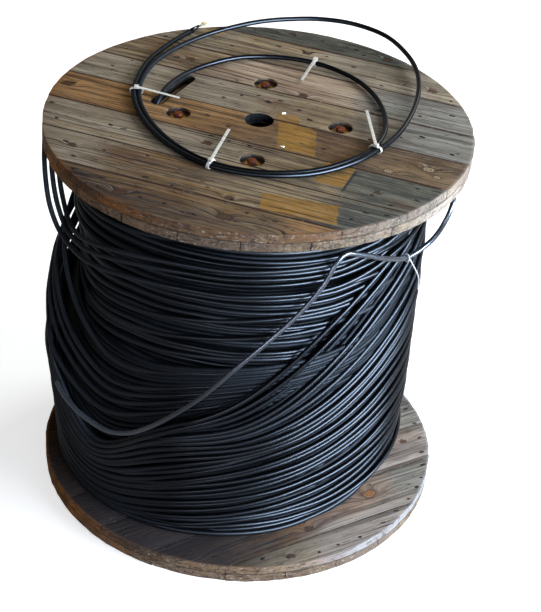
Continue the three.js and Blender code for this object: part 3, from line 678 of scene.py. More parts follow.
# The pieces take their random numbers from rng in turn, so their order matters.
wound("level_turns", level_lines(47, 144, 0, 3.6, 0.35), 10, sheath, "cable_pack", beneath=True)
wound("level_turns_under", level_lines(72, 96, 11, 2.0, 0.6), 6, shaded_sheath)
wound("straying_turns", straying_lines(7, 144), 10, sheath, beneath=True)
slack = slack_lines(OUTER_PLACES, 160, 0, 3.2, [(2, -16, 13, 26)])
wound("slack_turns", slack, 10, sheath, "loose_outer_turns")
wound("slack_turns_under", slack_lines(shaken(34, 0.01, 0.93, 0.008), 144, 12, 4.0), 8, shaded_sheath)
wound("slack_turns_inside", slack_lines(shaken(28, 0.02, 0.9, 0.01), 120, 25, 5.0), 6, shaded_sheath)
standing_out = free_lines(STANDING_OUT, (0, 0.26, 0.44, 0.6, 1), 180, 2.5)
wound("standing_out_turns", standing_out, 10, sheath, beneath=True)
wound("sagging_turns", free_lines(SAGGING, shaken(19, 0, 1, 0.015), 144, 3.0), 10, shaded_sheath)
wound("hanging_turns", hanging_lines(10), 10, sheath)
# Close turns further in, so that no light comes through the winding.
wound("level_turns_core", level_lines(77, 72, 22, 0.4, 0.96), 6, shaded_sheath)


# ---- Wood ----
def srgb(*values):
    """Turns a colour from 0-255 as it looks on a screen into the linear one that shaders take."""
    return tuple(((v / 255 + 0.055) / 1.055) ** 2.4 if v > 10 else v / 255 / 12.92 for v in values)


# Pale and dark wood between the growth lines, and the lines themselves.
TONES = {name: [srgb(*tone) for tone in tones] for name, tones in {
    "grey": [(176, 165, 144), (138, 123, 100), (84, 67, 48)],
    "silver": [(156, 154, 146), (118, 113, 104), (76, 69, 58)],
    "green": [(112, 110, 95), (72, 70, 57), (44, 40, 31)],
    "beige": [(170, 150, 117), (122, 99, 68), (60, 44, 29)],
    "rosy": [(194, 174, 150), (154, 130, 106), (94, 70, 49)],
    "brown": [(176, 134, 80), (112, 76, 41), (38, 24, 13)],
    "ash": [(178, 169, 162), (136, 126, 117), (80, 66, 55)],
    "dull": [(138, 113, 79), (92, 70, 44), (38, 27, 16)],
    "dark": [(120, 92, 60), (78, 56, 33), (31, 22, 13)],
}.items()}
KNOTS = {  # two tones of their rings, how ragged they are and how strong their outline is
    "dark": (srgb(36, 22, 13), srgb(112, 72, 38), 2.3, 0.6),
    "rusty": (srgb(24, 14, 9), srgb(104, 56, 29), 3.0, 0.6),
    "pale": (srgb(120, 96, 64), srgb(188, 170, 140), 1.3, 0.45),
    "orange": (srgb(132, 80, 40), srgb(186, 138, 86), 1.7, 0.45),
}
CRACK, BLEACHED, SEAM, SEAM_DIRT = srgb(20, 14, 10), srgb(206, 200, 188), srgb(62, 37, 20), srgb(84, 52, 28)
# The first of these is a painted shadow for the bottom flange's left side.
PAINTED_SHADOW, KNOT_OUTLINE = srgb(30, 16, 7), srgb(44, 26, 15)
# Painted shade inside the arbor hole, the cable's slot and the rods' recesses.
BORE_SHADE, SLOT_SHADE, RECESS_SHADE = srgb(3, 3, 2), srgb(26, 17, 10), srgb(34, 22, 12)
RIMS = {  # the rim's tones in its middle and at its right, for each layer. The paler right ones are partly bleached wood and partly painted light from the right
    "top_outer": (srgb(118, 84, 46), srgb(184, 172, 160)),
    "top_inner": (srgb(104, 82, 60), srgb(190, 182, 174)),
    "bottom_inner": (srgb(146, 118, 88), srgb(186, 188, 196)),
    "bottom_outer": (srgb(128, 102, 80), srgb(132, 120, 108)),
    "barrel": (srgb(120, 100, 76), srgb(120, 100, 76)),
}
RIM_LEFT, RIM_LEFT_DARK = srgb(160, 98, 28), srgb(44, 27, 14)
RIM_CRUMBS, PITH = srgb(44, 31, 21), srgb(188, 178, 166)
LAYER_JOINT = {  # the height between the two layers of a flange
    "top_outer": DRUM_HEIGHT - BOARD, "top_inner": DRUM_HEIGHT - BOARD, "bottom_inner": BOARD,
    "bottom_outer": BOARD, "barrel": 0,
}
CLEAR_PATCH = 0.8  # a patch stronger than this has clear edges, a weaker one is a soft stain
# Distances from the axis, the rods' circle or the slot's middle line between which the look
# changes, in metres.
BORE_EDGE, RIM_START, RIM_EDGE = (0.036, 0.042), (0.48, 0.486), (0.489, 0.4985)
RECESS_EDGE, SLOT_EDGE = (0.029, 0.031), (0.02, 0.024)
RECESS_LIP, RECESS_DEEP = 3, 7  # depths in mm between which a recess darkens with painted shade
# The ends of the slot's middle line, and how far it lies from there in each layer that it goes through.
SLOT_START, SLOT_END = Vector((-240, 54)), Vector((-178, 182))
SLOT_SHIFT = {"top_outer": Vector((0, 0)), "top_inner": Vector((-12, -44))}


class Wood(Shade):
    """The wood of one board. u runs along it and v across it, in metres, and tones from -u to +u."""

    def __init__(self, layer, index, angle, low, high, tones, knots=(), patches=(), seed=0.0):
        super().__init__(f"wood_{layer}_board_{index}")
        self.layer, self.angle, self.seed = layer, math.radians(angle), seed
        self.at = self.mapped(self.coords(), turn=-self.angle)
        self.u, self.v, self.z = self.split(self.at)
        self.x = self.split(self.coords())[0]
        self.reach = self.root(self.u, self.v)
        self.edge_on = self.level(abs(self.split(self.coords("Normal"))[2]), 0.3, 0.7, 1.0, 0.0)
        self.blotch = self.noise(self.at, 7, 4, 0.55)
        self.stain = self.noise(self.mapped(self.at, (1, 1.8, 1), (seed, 4, 0)), 11, 5, 0.62)
        fields = [self.knot_field(*knot[:3]) for knot in knots]
        self.follow_grain([swell for _, swell, _ in fields])
        pale, dark, line = self.board_tones(tones.split())
        broad = self.grain((1.4, 34, 30), 3, 0.55)
        self.colour = self.mix(self.level(broad, 0.36, 0.66, 0.05, 0.85), pale, dark)
        bare = self.paint_patches(patches)
        self.paint_grain(bare, pale, line)
        for (distance, _, rays), knot in zip(fields, knots):
            self.paint_knot(distance, rays, *KNOTS[knot[3] if len(knot) > 3 else "dark"])
        self.paint_seams(low * MM, high * MM)
        crumb = self.paint_rim()
        bore = self.paint_hollows()
        self.set(Base_Color=self.colour, Specular_IOR_Level=0.035)
        self.set(Roughness=self.most(self.level(self.stain, 0.3, 0.75, 0.88, 0.7), bore))
        self.set(Normal=self.relief(crumb))

    def relief(self, crumb):
        """The bumps of the fibres, streaks, growth lines, cracks and crumbling end grain."""
        height = self.fibres * 0.4 - self.level(self.streaks, 0.48, 0.64) * 0.8
        height = height - self.level(self.lines, 0.5, 0.66) * 0.5 - self.level(self.cracks, 0.64, 0.69) * 1.8
        return self.bump(height + self.edge_on * crumb * 1.6, 0.75, 0.0014)

    def paint(self, share, tone):
        self.colour = self.mix(share, self.colour, tone)

    def grain(self, scale, detail, rough, location=(0, 0, 0)):
        return self.noise(self.mapped(self.line_at, scale, location), 1.0, detail, rough)

    def knot_field(self, u, v, size):
        """A knot's distance, 1 at its edge, how far the grain swells round it, and its rays."""
        size = size * MM
        du, dv = self.u - u * MM, self.v - v * MM
        wide, high = du / (2.6 * size), dv / (1.25 * size)
        swell = self.math("POWER", math.e, (wide * wide + high * high) * -1.0) * (1.7 * size)
        du, dv = du / size, dv / (0.7 * size)
        distance = self.root(du, dv)
        near = self.most(distance, 0.05)
        return distance, swell, self.join(du / near, dv / near, size * 90)

    def follow_grain(self, swells):
        """Growth lines follow v, bend slowly, and close round each knot."""
        drift = self.noise(self.mapped(self.at, (1.6, 5, 5), (self.seed * 3.7, self.seed, 0)), 1.0, 2)
        across = drift * 0.05 + self.v
        for swell in swells:
            across = swell + across
        self.line_at = self.join(self.u + self.seed * 5.3, across + self.seed * 2.9, self.z + self.seed)
        self.lines = self.grain((1.1, 105, 60), 2, 0.5)
        self.streaks = self.grain((3.2, 270, 160), 3, 0.6)
        self.fibres = self.grain((15, 560, 420), 2, 0.6, (1, 5, 2))
        self.cracks = self.grain((2.4, 150, 80), 3, 0.55, (3, 1, 2))

    def board_tones(self, names):
        tones = TONES[names[0]]
        for i, name in enumerate(names[1:], 1):
            turn = -0.5 + i / len(names)
            share = self.level((self.blotch - 0.5) * 0.5 + self.u, turn - 0.09, turn + 0.09)
            tones = [self.mix(share, a, b) for a, b in zip(tones, TONES[name])]
        return tones

    def paint_patches(self, patches):
        """Faded ink and stains. Gives back how strongly the grain shows through them."""
        veil = 0.0
        for (u, v, half_u, half_v), lean, tilt, ink, strength in patches:
            wobble = (self.noise(self.at, 60, 4, 0.6) - 0.5) * 0.2
            across = abs(((self.v - v * MM) * lean + self.u - u * MM) / (half_u * MM))
            along = abs(((self.u - u * MM) * tilt + self.v - v * MM) / (half_v * MM))
            clear = strength > CLEAR_PATCH
            soft = 0.035 if clear else 0.45
            inside = self.level(self.most(across, along) + wobble, 1 - soft, 1 + soft, strength, 0.0)
            self.paint(inside, self.mix(self.level(self.stain, 0.4, 0.7), ink, tuple(c * 0.6 for c in ink)))
            if clear:
                veil = self.most(veil, self.level(inside, 0.0, strength, 0.0, 0.55))
        return 1.0 - veil

    def paint_grain(self, bare, pale, line):
        mottle = self.grain((11, 75, 50), 4, 0.65, (5, 2, 8))
        pits = self.grain((34, 150, 110), 3, 0.6, (7, 1, 2))
        self.paint(bare * self.level(self.lines, 0.53, 0.65, 0.0, 0.7), line)
        self.paint(bare * self.level(self.streaks, 0.52, 0.63, 0.0, 0.62), line)
        self.paint(bare * self.level(self.streaks, 0.46, 0.34, 0.0, 0.5), pale)
        self.paint(self.level(self.fibres, 0.54, 0.68, 0.0, 0.26), BLEACHED)
        self.paint(self.level(mottle, 0.5, 0.66, 0.0, 0.5), line)
        self.paint(self.level(self.stain, 0.56, 0.76, 0.0, 0.5), line)
        self.paint(self.level(pits, 0.63, 0.7, 0.0, 0.75), CRACK)
        self.paint(self.level(self.cracks, 0.66, 0.685, 0.0, 0.92), CRACK)

    def paint_knot(self, distance, rays, dark, light, ragged, strength):
        edge = distance - (self.noise(rays, 2.4, 4, 0.65) - 0.5) * ragged
        rings = self.level(self.math("SINE", edge * 11.0), -0.4, 0.6)
        self.paint(self.level(edge, 0.8, 1.3, 0.92, 0.0), self.mix(rings, dark, light))
        self.paint(self.level(abs(edge - 1.15), 0.1, 0.5, strength, 0.0), KNOT_OUTLINE)

    def paint_seams(self, low, high):
        """Dirt in the seams, and painted shadow on the left of the bottom flange, under the overhanging
        turns.
        """
        near = self.math("MINIMUM", self.v - low, high - self.v)
        seam, spill = (0.0018, 0.003) if self.layer == "bottom_inner" else (0.0028, 0.007)
        dirt = self.level(near, 0.0005, spill, 1.0, 0.0) * self.level(self.stain, 0.3, 0.6, 0.2, 0.85)
        self.paint(dirt, SEAM_DIRT)
        self.paint(self.level(near, seam * 0.4, seam, 0.9, 0.0), SEAM)
        # Painted shadow: the bottom flange darkens towards its left, under the overhanging turns.
        if self.layer == "bottom_inner":
            self.paint(self.level(self.x, 0.22, -0.04, 0.0, 0.93), PAINTED_SHADOW)

    def paint_rim(self):
        """Bare wood and crumbling end grain round the rim. Gives back how the end grain crumbles."""
        left, right = self.level(self.x, -0.12, -0.44), self.level(self.x, 0.12, 0.4)
        band = self.most(self.edge_on, self.level(self.reach, *RIM_EDGE, 0.0, 0.8))
        band = band * self.level(self.blotch, 0.35, 0.6, 0.3, 0.95) * self.level(self.reach, *RIM_START)
        # The rim is paler at its right: partly bleached wood, partly painted light from the right.
        tone = self.mix(left, self.mix(right, *RIMS[self.layer]), RIM_LEFT)
        self.paint(band * self.level(self.streaks, 0.5, 0.64, 1.0, 0.4), tone)
        crumb = self.noise(self.mapped(self.coords(), (42, 42, 130)), 1.0, 4, 0.7)
        crumbled = self.edge_on * self.level(crumb, 0.48, 0.66, 0.0, 0.75)
        self.paint(crumbled * self.level(right, 0, 1, 1.0, 0.3), RIM_CRUMBS)
        pith = self.noise(self.mapped(self.coords(), (70, 70, 190), (1, 2, 3)), 1.0, 4, 0.65)
        pith = self.level(pith, 0.57, 0.67, 0.0, 0.65) * self.level(left, 0.0, 1.0, 1.0, 0.2)
        self.paint(self.edge_on * pith, PITH)
        # Darker blotches on the left of the rim.
        self.paint(self.edge_on * left * self.level(self.blotch, 0.4, 0.62, 0.72, 0.15), RIM_LEFT_DARK)
        joint = self.level(abs(self.z - LAYER_JOINT[self.layer] * MM), 0.001, 0.0028, 0.85, 0.0)
        self.paint(joint * self.edge_on * self.level(self.blotch, 0.36, 0.52, 0.15, 1.0), CRACK)
        return crumb

    def from_slot(self):
        """Distance from the middle line of the cable's slot, in metres."""
        turn = Matrix.Rotation(-self.angle, 2)
        start, end = (turn @ ((point + SLOT_SHIFT[self.layer]) * MM) for point in (SLOT_START, SLOT_END))
        run = end - start
        du, dv = self.u - start.x, self.v - start.y
        share = du * (run.x / run.length_squared) + dv * (run.y / run.length_squared)
        share = self.math("MULTIPLY", share, 1.0, clamp=True)
        return self.root(du - share * run.x, dv - share * run.y)

    def paint_hollows(self):
        """Painted shade in the arbor hole, the slot and the rods' recesses. Gives back where the bore is."""
        bore = self.level(self.reach, *BORE_EDGE, 1.0, 0.0) * self.edge_on
        self.paint(bore, BORE_SHADE)
        if self.layer in SLOT_SHIFT:
            self.paint(self.level(self.from_slot(), *SLOT_EDGE, 0.94, 0.0) * self.edge_on, SLOT_SHADE)
        if self.layer == "top_outer":
            dark, lit = ((DRUM_HEIGHT - depth) * MM for depth in (RECESS_DEEP, RECESS_LIP))
            below = self.level(self.z, dark, lit, 0.86, 0.0)
            around = self.level(abs(self.reach - ROD_CIRCLE * MM), *RECESS_EDGE, 1.0, 0.0)
            self.paint(below * around, RECESS_SHADE)
        return bore


RIM_FACE = 0.498  # what lies further from the axis is the rim, in metres
LONG_EDGE, EDGE_STEP, MOST_CUTS = 0.03, 0.02, 40  # level edges that long are cut into such steps
SAME_HEIGHT = 1e-4  # points this near in height are level, in metres
BOARD_TOPS = {}  # the height of each board's upper face


def board_mesh(node, mat, inset, drop, seed):
    """A copy of a CAD board with soft broken edges, a little inside the CAD one."""
    bm = cad_copy(node, 1e-5)
    rand = random.Random(seed)
    level = [e for e in bm.edges if abs(e.verts[0].co.z - e.verts[1].co.z) < SAME_HEIGHT]
    for e in [e for e in level if e.calc_length() > LONG_EDGE]:
        bmesh.ops.subdivide_edges(bm, edges=[e], cuts=min(MOST_CUTS, int(e.calc_length() / EDGE_STEP)))
    top = max(v.co.z for v in bm.verts)
    for v in bm.verts:
        r = math.hypot(v.co.x, v.co.y)
        if r > RIM_FACE:
            phase = math.atan2(v.co.y, v.co.x)
            wave = 0.5 + 0.5 * math.sin(17 * phase + seed) * math.sin(41 * phase + 2 * seed)
            cut = (inset + 1.3 * wave + rand.uniform(0, 0.7)) * MM
            v.co.x *= 1 - cut / r
            v.co.y *= 1 - cut / r
        if v.co.z > top - SAME_HEIGHT:
            v.co.z -= drop * MM
    round_edges(bm, 40, 1.1)
    BOARD_TOPS[node] = (top - drop * MM) / MM
    return bmesh_object("dressed_" + node, bm, mat, crease=28)


OCHRE, PAPER = srgb(170, 126, 44), srgb(175, 129, 42)
RUST_STAIN, BROWN_STAIN = srgb(122, 66, 34), srgb(120, 78, 36)
SOOT, STICK, MOSS = srgb(64, 58, 50), srgb(38, 42, 50), srgb(66, 64, 52)
# For each board of a layer: its tones along it, its knots (along, across, size, and a tone if it
# isn't dark) and its patches (middle and half size, lean, tilt, ink, strength).
TOP_BOARDS = [
    ("dark dark dull brown", [(-150, -440, 13), (90, -432, 15), (240, -446, 11)],
     [((-60, -400, 150, 16), 0.3, 0, OCHRE, 0.25)]),
    ("grey dull beige green", [(-330, -300, 9), (70, -356, 9)], [
        ((338, -302, 40, 38), 0.2, 0.1, SOOT, 0.4), ((219, -330, 87, 39), 0.28, -0.126, PAPER, 0.97),
        ((-20, -352, 110, 20), 0.2, 0, OCHRE, 0.3), ((-110, -262, 60, 12), 0, 0, OCHRE, 0.35),
        ((-180, -300, 90, 30), 0.3, 0, BROWN_STAIN, 0.35)]),
    ("grey grey beige green", [(-65, -155, 10, "rusty"), (350, -190, 7)], [
        ((241, -158, 34, 46), 0, 0, OCHRE, 0.95), ((278, -172, 3.5, 48), 0, 0, STICK, 0.9),
        ((-300, -222, 160, 12), 0.2, 0, OCHRE, 0.3), ((420, -215, 40, 16), 0.4, 0, BROWN_STAIN, 0.4)]),
    ("brown brown dull dull",
     [(-470, -40, 12), (421, -41, 14, "pale"), (342, -89, 11, "pale"), (448, -66, 9, "pale"), (-240, 0, 8)], [
        ((108, -41, 46, 61), 0.32, 0, OCHRE, 0.97), ((205, -40, 46, 58), 0.32, 0, BROWN_STAIN, 0.5),
        ((-30, -62, 70, 22), 0.2, 0, BROWN_STAIN, 0.4), ((330, -20, 90, 26), 0.2, 0, srgb(70, 48, 30), 0.5),
        ((400, -45, 80, 40), 0.2, 0, srgb(140, 110, 72), 0.5)]),
    ("grey grey beige silver", [(-15, 96, 6)], [
        ((-12, 96, 26, 22), 0, 0, RUST_STAIN, 0.4), ((57, 38, 28, 19), 0.32, 0, OCHRE, 0.85)]),
    ("beige rosy rosy silver", [(50, 163, 10, "rusty"), (-262, 215, 10), (225, 150, 8)], [
        ((30, 190, 90, 30), 0.2, 0, RUST_STAIN, 0.2), ((-320, 240, 60, 30), 0, 0, RUST_STAIN, 0.25)]),
    ("grey beige grey grey", [(-20, 380, 9), (320, 330, 10)],
     [((-270, 392, 30, 24), 0, 0, OCHRE, 0.5), ((230, 380, 150, 40), 0, 0, MOSS, 0.35)]),
    ("green green green dark", [(-90, 466, 8), (170, 440, 10)],
     [((120, 450, 200, 50), 0, 0, MOSS, 0.45)]),
]
BOTTOM_BOARDS = [
    ("dark grey ash ash", [(-110, -455, 9)], [((-260, -440, 50, 22), 0, 0, OCHRE, 0.4)]),
    ("brown dark ash silver", [(-340, -352, 15), (185, -345, 17, "orange"), (-20, -390, 10)],
     [((90, -340, 150, 50), 0, 0, srgb(182, 128, 78), 0.55)]),
    ("dark dark ash ash", [(-400, -250, 10), (380, -205, 8)],
     [((300, -190, 120, 22), 0, 0, srgb(150, 104, 70), 0.4)]),
    ("dark brown grey silver", [(430, -60, 10)]),
    ("brown dark grey silver",),
    ("brown dark grey grey",),
    ("dark grey grey grey",),
    ("dark grey grey grey",),
]
HIDDEN_BOARDS = [("beige dark",)] * 8
# Each layer: the direction of its boards in degrees, its seams, its boards and how far its rim is
# worn in.
LAYERS = {
    "top_outer": (-18.5, [-373, -242, -111, 20, 151, 282, 413], TOP_BOARDS, 0.4),
    "top_inner": (71.5, [-415, -280, -145, -10, 125, 260, 395], HIDDEN_BOARDS, 1.6),
    "bottom_inner": (32.5, [-420, -290, -160, -30, 100, 230, 360], BOTTOM_BOARDS, 0.4),
    "bottom_outer": (122.5, [-391, -259, -127, 5, 137, 269, 401], HIDDEN_BOARDS, 1.4),
}


def board_edges(layer):
    """The lower and the upper edge of each board of a layer, across it."""
    edges = [-FLANGE_RADIUS, *LAYERS[layer][1], FLANGE_RADIUS]
    return list(zip(edges, edges[1:]))


for layer, (angle, _, looks, worn) in LAYERS.items():
    for i, (edges, look) in enumerate(zip(board_edges(layer), looks)):
        seed = random.Random(f"{layer}{i}").random() * 9 + i
        rand = random.Random(i * 7 + len(layer))
        drop = rand.uniform(0.0, 0.7) if layer != "bottom_outer" else 0.0
        node, wood = f"{layer}_board_{i + 1}", Wood(layer, i + 1, angle, *edges, *look, seed=seed)
        board = board_mesh(node, wood.mat, worn + rand.uniform(0, 2.2), drop, seed)
        dress(board, "weathered_wood", node)
barrel = bpy.data.objects["barrel_staves"].data.materials
barrel.clear()
barrel.append(Wood("barrel", 0, 0, -1000, 1000, "beige brown", seed=3.3).mat)


# ---- Looks of the small pieces ----
def mottled(name, noise, tones, edges=None, spots=None, gloss=None, relief=None, **settings):
    """Two tones by a noise, sharper between its edges, and a third one in spots. The gloss goes by
    a noise of its own if its scale is given, otherwise by the first one."""
    s = Shade(name)
    at = s.coords()
    share = s.noise(at, *noise)
    colour = s.mix(s.level(share, *edges) if edges else share, *tones[:2])
    if spots:
        place, noise, edges = spots
        spot = s.level(s.noise(s.mapped(at, location=place), *noise), *edges)
        colour = s.mix(spot, colour, tones[2])
    s.set(Base_Color=colour, **settings)
    if gloss:
        low, high, *scale = gloss
        s.set(Roughness=s.level(s.noise(at, *scale, 2) if scale else share, 0.3, 0.7, low, high))
    if relief:
        noise, strength, depth = relief
        s.set(Normal=s.bump(s.noise(at, *noise), strength, depth))
    return s.mat


def nylon_material():
    s = Shade("white_nylon")
    at = s.coords()
    grime = s.level(s.noise(at, 120, 4, 0.6), 0.45, 0.75)
    s.set(Base_Color=s.mix(grime, srgb(232, 232, 226), srgb(190, 186, 174)))
    s.set(Roughness=s.level(grime, 0, 1, 0.32, 0.55), Subsurface_Weight=0.15, Subsurface_Scale=0.002)
    s.set(Subsurface_Radius=(1.0, 0.9, 0.8), Specular_IOR_Level=0.14)
    s.set(Normal=s.bump(s.noise(at, 800, 2), 0.15, 0.0003))
    return s.mat


nail_stain = mottled(
    "nail_stain", (240, 4, 0.6), (srgb(40, 29, 20), srgb(18, 13, 10)), (0.35, 0.65),
    relief=((700, 3), 0.4, 0.0004), Roughness=0.9, Specular_IOR_Level=0.03,
)
nail_iron = mottled(
    "nail_iron", (320, 3), (srgb(52, 34, 23), srgb(22, 15, 11)), gloss=(0.6, 0.85, 500),
    relief=((900, 3), 0.4, 0.0004), Specular_IOR_Level=0.05,
)
rust = mottled(
    "rusty_steel", (130, 5, 0.65), (srgb(134, 66, 22), srgb(56, 27, 11), srgb(172, 102, 44)), (0.4, 0.62),
    ((0, 0, 0), (400, 3), (0.56, 0.72)), (0.4, 0.75), ((600, 4, 0.7), 0.6, 0.0006), Specular_IOR_Level=0.03,
)
zinc = mottled(
    "dull_zinc", (90, 4, 0.6), (srgb(214, 160, 74), srgb(112, 78, 34), srgb(84, 46, 20)), (0.4, 0.62),
    ((1, 2, 3), (150, 5, 0.7), (0.5, 0.62)), (0.12, 0.3), ((500, 3), 0.25, 0.0005), Metallic=0.55,
)
string = mottled(
    "white_string", (300, 4, 0.6), (srgb(214, 208, 194), srgb(150, 142, 126)),
    relief=((1500, 3), 0.7, 0.0005), Roughness=0.95,
)
yarn = mottled(
    "yellow_yarn", (500, 3, 0.6), (srgb(226, 208, 84), srgb(158, 128, 34)),
    relief=((1400, 3), 0.6, 0.0005), Roughness=0.9,
)
staple_steel = mottled(
    "staple_steel", (300, 3), (srgb(236, 236, 240), srgb(190, 188, 186)), gloss=(0.25, 0.4, 200),
    Metallic=0.6,
)
nylon = nylon_material()

# ---- Nails ----
# Along and across the top boards.
TOP_NAILS = [
    (-82, 460), (-8, 464), (85, 458), (110, 438), (-182, 438), (108, 363), (-96, 383), (-26, 379), (30, 386),
    (398, 230), (330, 193), (375, 300), (238, 174), (460, 156), (471, 145), (320, 74),
    (364, 98), (449, 50), (460, 59), (104, 56), (67, 89), (-45, 113), (11, 113), (-11, 93), (-115, 67),
    (-82, 95), (-386, 141), (-416, 93), (-423, 193), (-297, 208), (-368, 301), (-350, 175), (-260, -182),
    (-293, -178), (-416, -204), (-349, -293), (-256, -290), (-304, -345), (-167, -368), (-126, -357),
    (-60, -364), (11, -368), (-115, -33), (-52, -60), (-70, -119), (-26, -123), (26, -123), (-460, -141),
    (-457, -30), (342, -204), (394, -227), (353, -282), (397, -271), (423, -134), (438, -182), (479, -111),
    (334, -320), (193, -401), (126, -397), (78, -360), (-208, -401), (-279, -394), (-230, -438),
    (-200, -438), (-115, -420), (-100, -438), (-45, -438), (4, -453), (30, -453), (119, -438), (300, -364),
    (250, 330), (-330, 60), (180, -60), (-160, -270), (200, 300), (-200, 330), (-250, 100), (260, 30),
]
# The ring of nails round the bottom flange, as points on the drum.
RING_NAILS = [
    (-190, -445), (-140, -443), (-90, -455), (-30, -467), (35, -470), (85, -460), (145, -448), (220, -422),
    (265, -390), (318, -357), (375, -297), (408, -248), (440, -200), (462, -150), (475, -112), (480, -60),
    (-250, -412), (-300, -376), (-345, -338), (-392, -280), (-428, -222), (-455, -160), (-472, -96),
    (478, -8), (474, 52), (462, 112), (441, 172), (412, 232), (372, 290), (325, 345), (268, 390),
    (205, 428), (140, 452), (70, 470), (0, 474), (-70, 468), (-138, 452), (-204, 428), (-266, 392),
    (-322, 346), (-372, 292), (-412, 234), (-442, 172), (-462, 108), (-474, 42), (-478, -28),
]
NAIL_SIDES = 14
NAIL_HEAD, NAIL_FOOT = (2.4, 2.1), 0.5  # its half length and width, and how deep its edge goes down
STAIN_LONG, STAIN_WIDE = (4.0, 8.5), (2.4, 3.8)  # from and to, as half sizes
TOP_MARGIN, RING_MARGIN = 6, 5  # no nail this close to a seam


def turned_point(u, v, a):
    return u * math.cos(a) - v * math.sin(a), u * math.sin(a) + v * math.cos(a)


def nail_marks(name, places, z, seed):
    """A sunken ragged stain and a nail head in it at each place, as one mesh."""
    rand = random.Random(seed)
    bm = bmesh.new()
    for x, y, grain in places:
        turn = grain + rand.uniform(-0.3, 0.3)
        stain = (rand.uniform(*STAIN_LONG), rand.uniform(*STAIN_WIDE))
        marks = ((stain, 0.14, -0.2, 0.24), (NAIL_HEAD, 0.5, -0.04, 0.04))
        for look, ((long, wide), lift, least, most) in enumerate(marks):
            edge = []
            for k in range(NAIL_SIDES):
                a, rough = 2 * math.pi * k / NAIL_SIDES, 1 + rand.uniform(least, most)
                ex, ey = turned_point(long * rough * math.cos(a), wide * rough * math.sin(a), turn)
                edge.append((x + ex, y + ey))
            base, rim = (
                [bm.verts.new((px * MM, py * MM, (z + rise) * MM)) for px, py in edge]
                for rise in (-NAIL_FOOT, lift * 0.6)
            )
            middle = bm.verts.new((x * MM, y * MM, (z + lift) * MM))
            for k in range(NAIL_SIDES):
                n = (k + 1) % NAIL_SIDES
                for corners in ((base[k], base[n], rim[n], rim[k]), (rim[k], rim[n], middle)):
                    face = bm.faces.new(corners)
                    face.material_index = look
                    face.smooth = True
    bmesh.ops.recalc_face_normals(bm, faces=bm.faces)
    return dress(bmesh_object(name, bm, nail_stain, nail_iron), "rusty_steel")


TOP_TURN, BOTTOM_TURN = (math.radians(LAYERS[layer][0]) for layer in ("top_outer", "bottom_inner"))
ring_nails = [turned_point(x, y, -BOTTOM_TURN) for x, y in RING_NAILS]
for side, layer, turn, places, margin, seed in (
    ("top", "top_outer", TOP_TURN, TOP_NAILS, TOP_MARGIN, 0),
    ("bottom", "bottom_inner", BOTTOM_TURN, ring_nails, RING_MARGIN, 20),
):
    for i, (low, high) in enumerate(board_edges(layer)):
        mine = [(u, v) for u, v in places if low + margin < v < high - margin]
        mine = [(*turned_point(u, v, turn), turn) for u, v in mine]
        nail_marks(f"nails_{side}_{i + 1}", mine, BOARD_TOPS[f"{layer}_board_{i + 1}"], seed + i)


# ---- Steel, ties and the cable's end ----
def softened(node, mat, slot, bevel):
    """A copy of a CAD part with its edges rounded."""
    bm = cad_copy(node, 1e-6)
    round_edges(bm, 35, bevel)
    return dress(bmesh_object("soft_" + node, bm, mat, crease=32), slot, node)


def open_tubes(name, paths, mat, sides=8):
    """Round tubes with closed ends as one mesh. Each path is a list of (point, radius), in mm."""
    bm = bmesh.new()
    turns = [2 * math.pi * k / sides for k in range(sides)]
    for path in paths:
        points = [Vector(point) for point, _ in path]
        rings = []
        for i, (point, (_, radius)) in enumerate(zip(points, path)):
            along = (points[min(i + 1, len(points) - 1)] - points[max(i - 1, 0)]).normalized()
            side = along.cross(Vector((0, 0, 1)) if abs(along.z) < 0.9 else Vector((1, 0, 0))).normalized()
            up = side.cross(along)
            rings.append([
                bm.verts.new((point + radius * (math.cos(a) * side + math.sin(a) * up)) * MM) for a in turns
            ])
        for first, second in zip(rings, rings[1:]):
            for k in range(sides):
                n = (k + 1) % sides
                bm.faces.new((first[k], first[n], second[n], second[k])).smooth = True
        bm.faces.new(rings[0][::-1])
        bm.faces.new(rings[-1])
    bmesh.ops.recalc_face_normals(bm, faces=bm.faces)
    return bmesh_object(name, bm, mat)


END_DIRECTION = Vector((21, 33, 0)).normalized()
PRONGS_END = 46  # past the end of the sheath
TAPES = [(-6, 6.9), (10, 6.6)]  # where each begins past the end of the sheath, and its radius
TAPE_SHAPE = [(0, -0.6), (1, 0), (5, 0), (6, -0.6)]  # along it, and its radius there
YARN_COUNT = 34


def beyond_end(distance, side=0.0, rise=0.0):
    """A point past the coil's end."""
    across = Vector((END_DIRECTION.y, -END_DIRECTION.x, 0))
    return Vector((*CABLE_END[:2], COIL_Z + rise)) + distance * END_DIRECTION + side * across


def tape_paths():
    """Two wraps of tape: one round the end of the sheath and one round the two prongs."""
    return [
        [(beyond_end(start + step), radius + more) for step, more in TAPE_SHAPE] for start, radius in TAPES
    ]


def yarn_paths():
    """Loose filaments that fan out from between the prongs."""
    rand = random.Random(5)
    paths = []
    for _ in range(YARN_COUNT):
        lean, lift, length = rand.uniform(-8, 8), rand.uniform(-3, 7), rand.uniform(13, 23)
        start = beyond_end(PRONGS_END - 2, rand.uniform(-1.5, 1.5), rand.uniform(-1.5, 1.5))
        middle = beyond_end(PRONGS_END + length * 0.55, lean * 0.45, lift * 0.7)
        tip = beyond_end(PRONGS_END + length, lean, lift * 0.8)
        paths.append([(start, 1.1), (middle, 1.2), (tip, 0.5)])
    return paths


STAPLES = [(40, 55, 0.5), (91, -95, -0.2)]  # along and across the top boards, and their turn in radians
STAPLE_BOW = [(-1, -0.6), (-0.9, 1.6), (0.9, 1.8), (1, -0.6)]  # shares of half its width, and heights


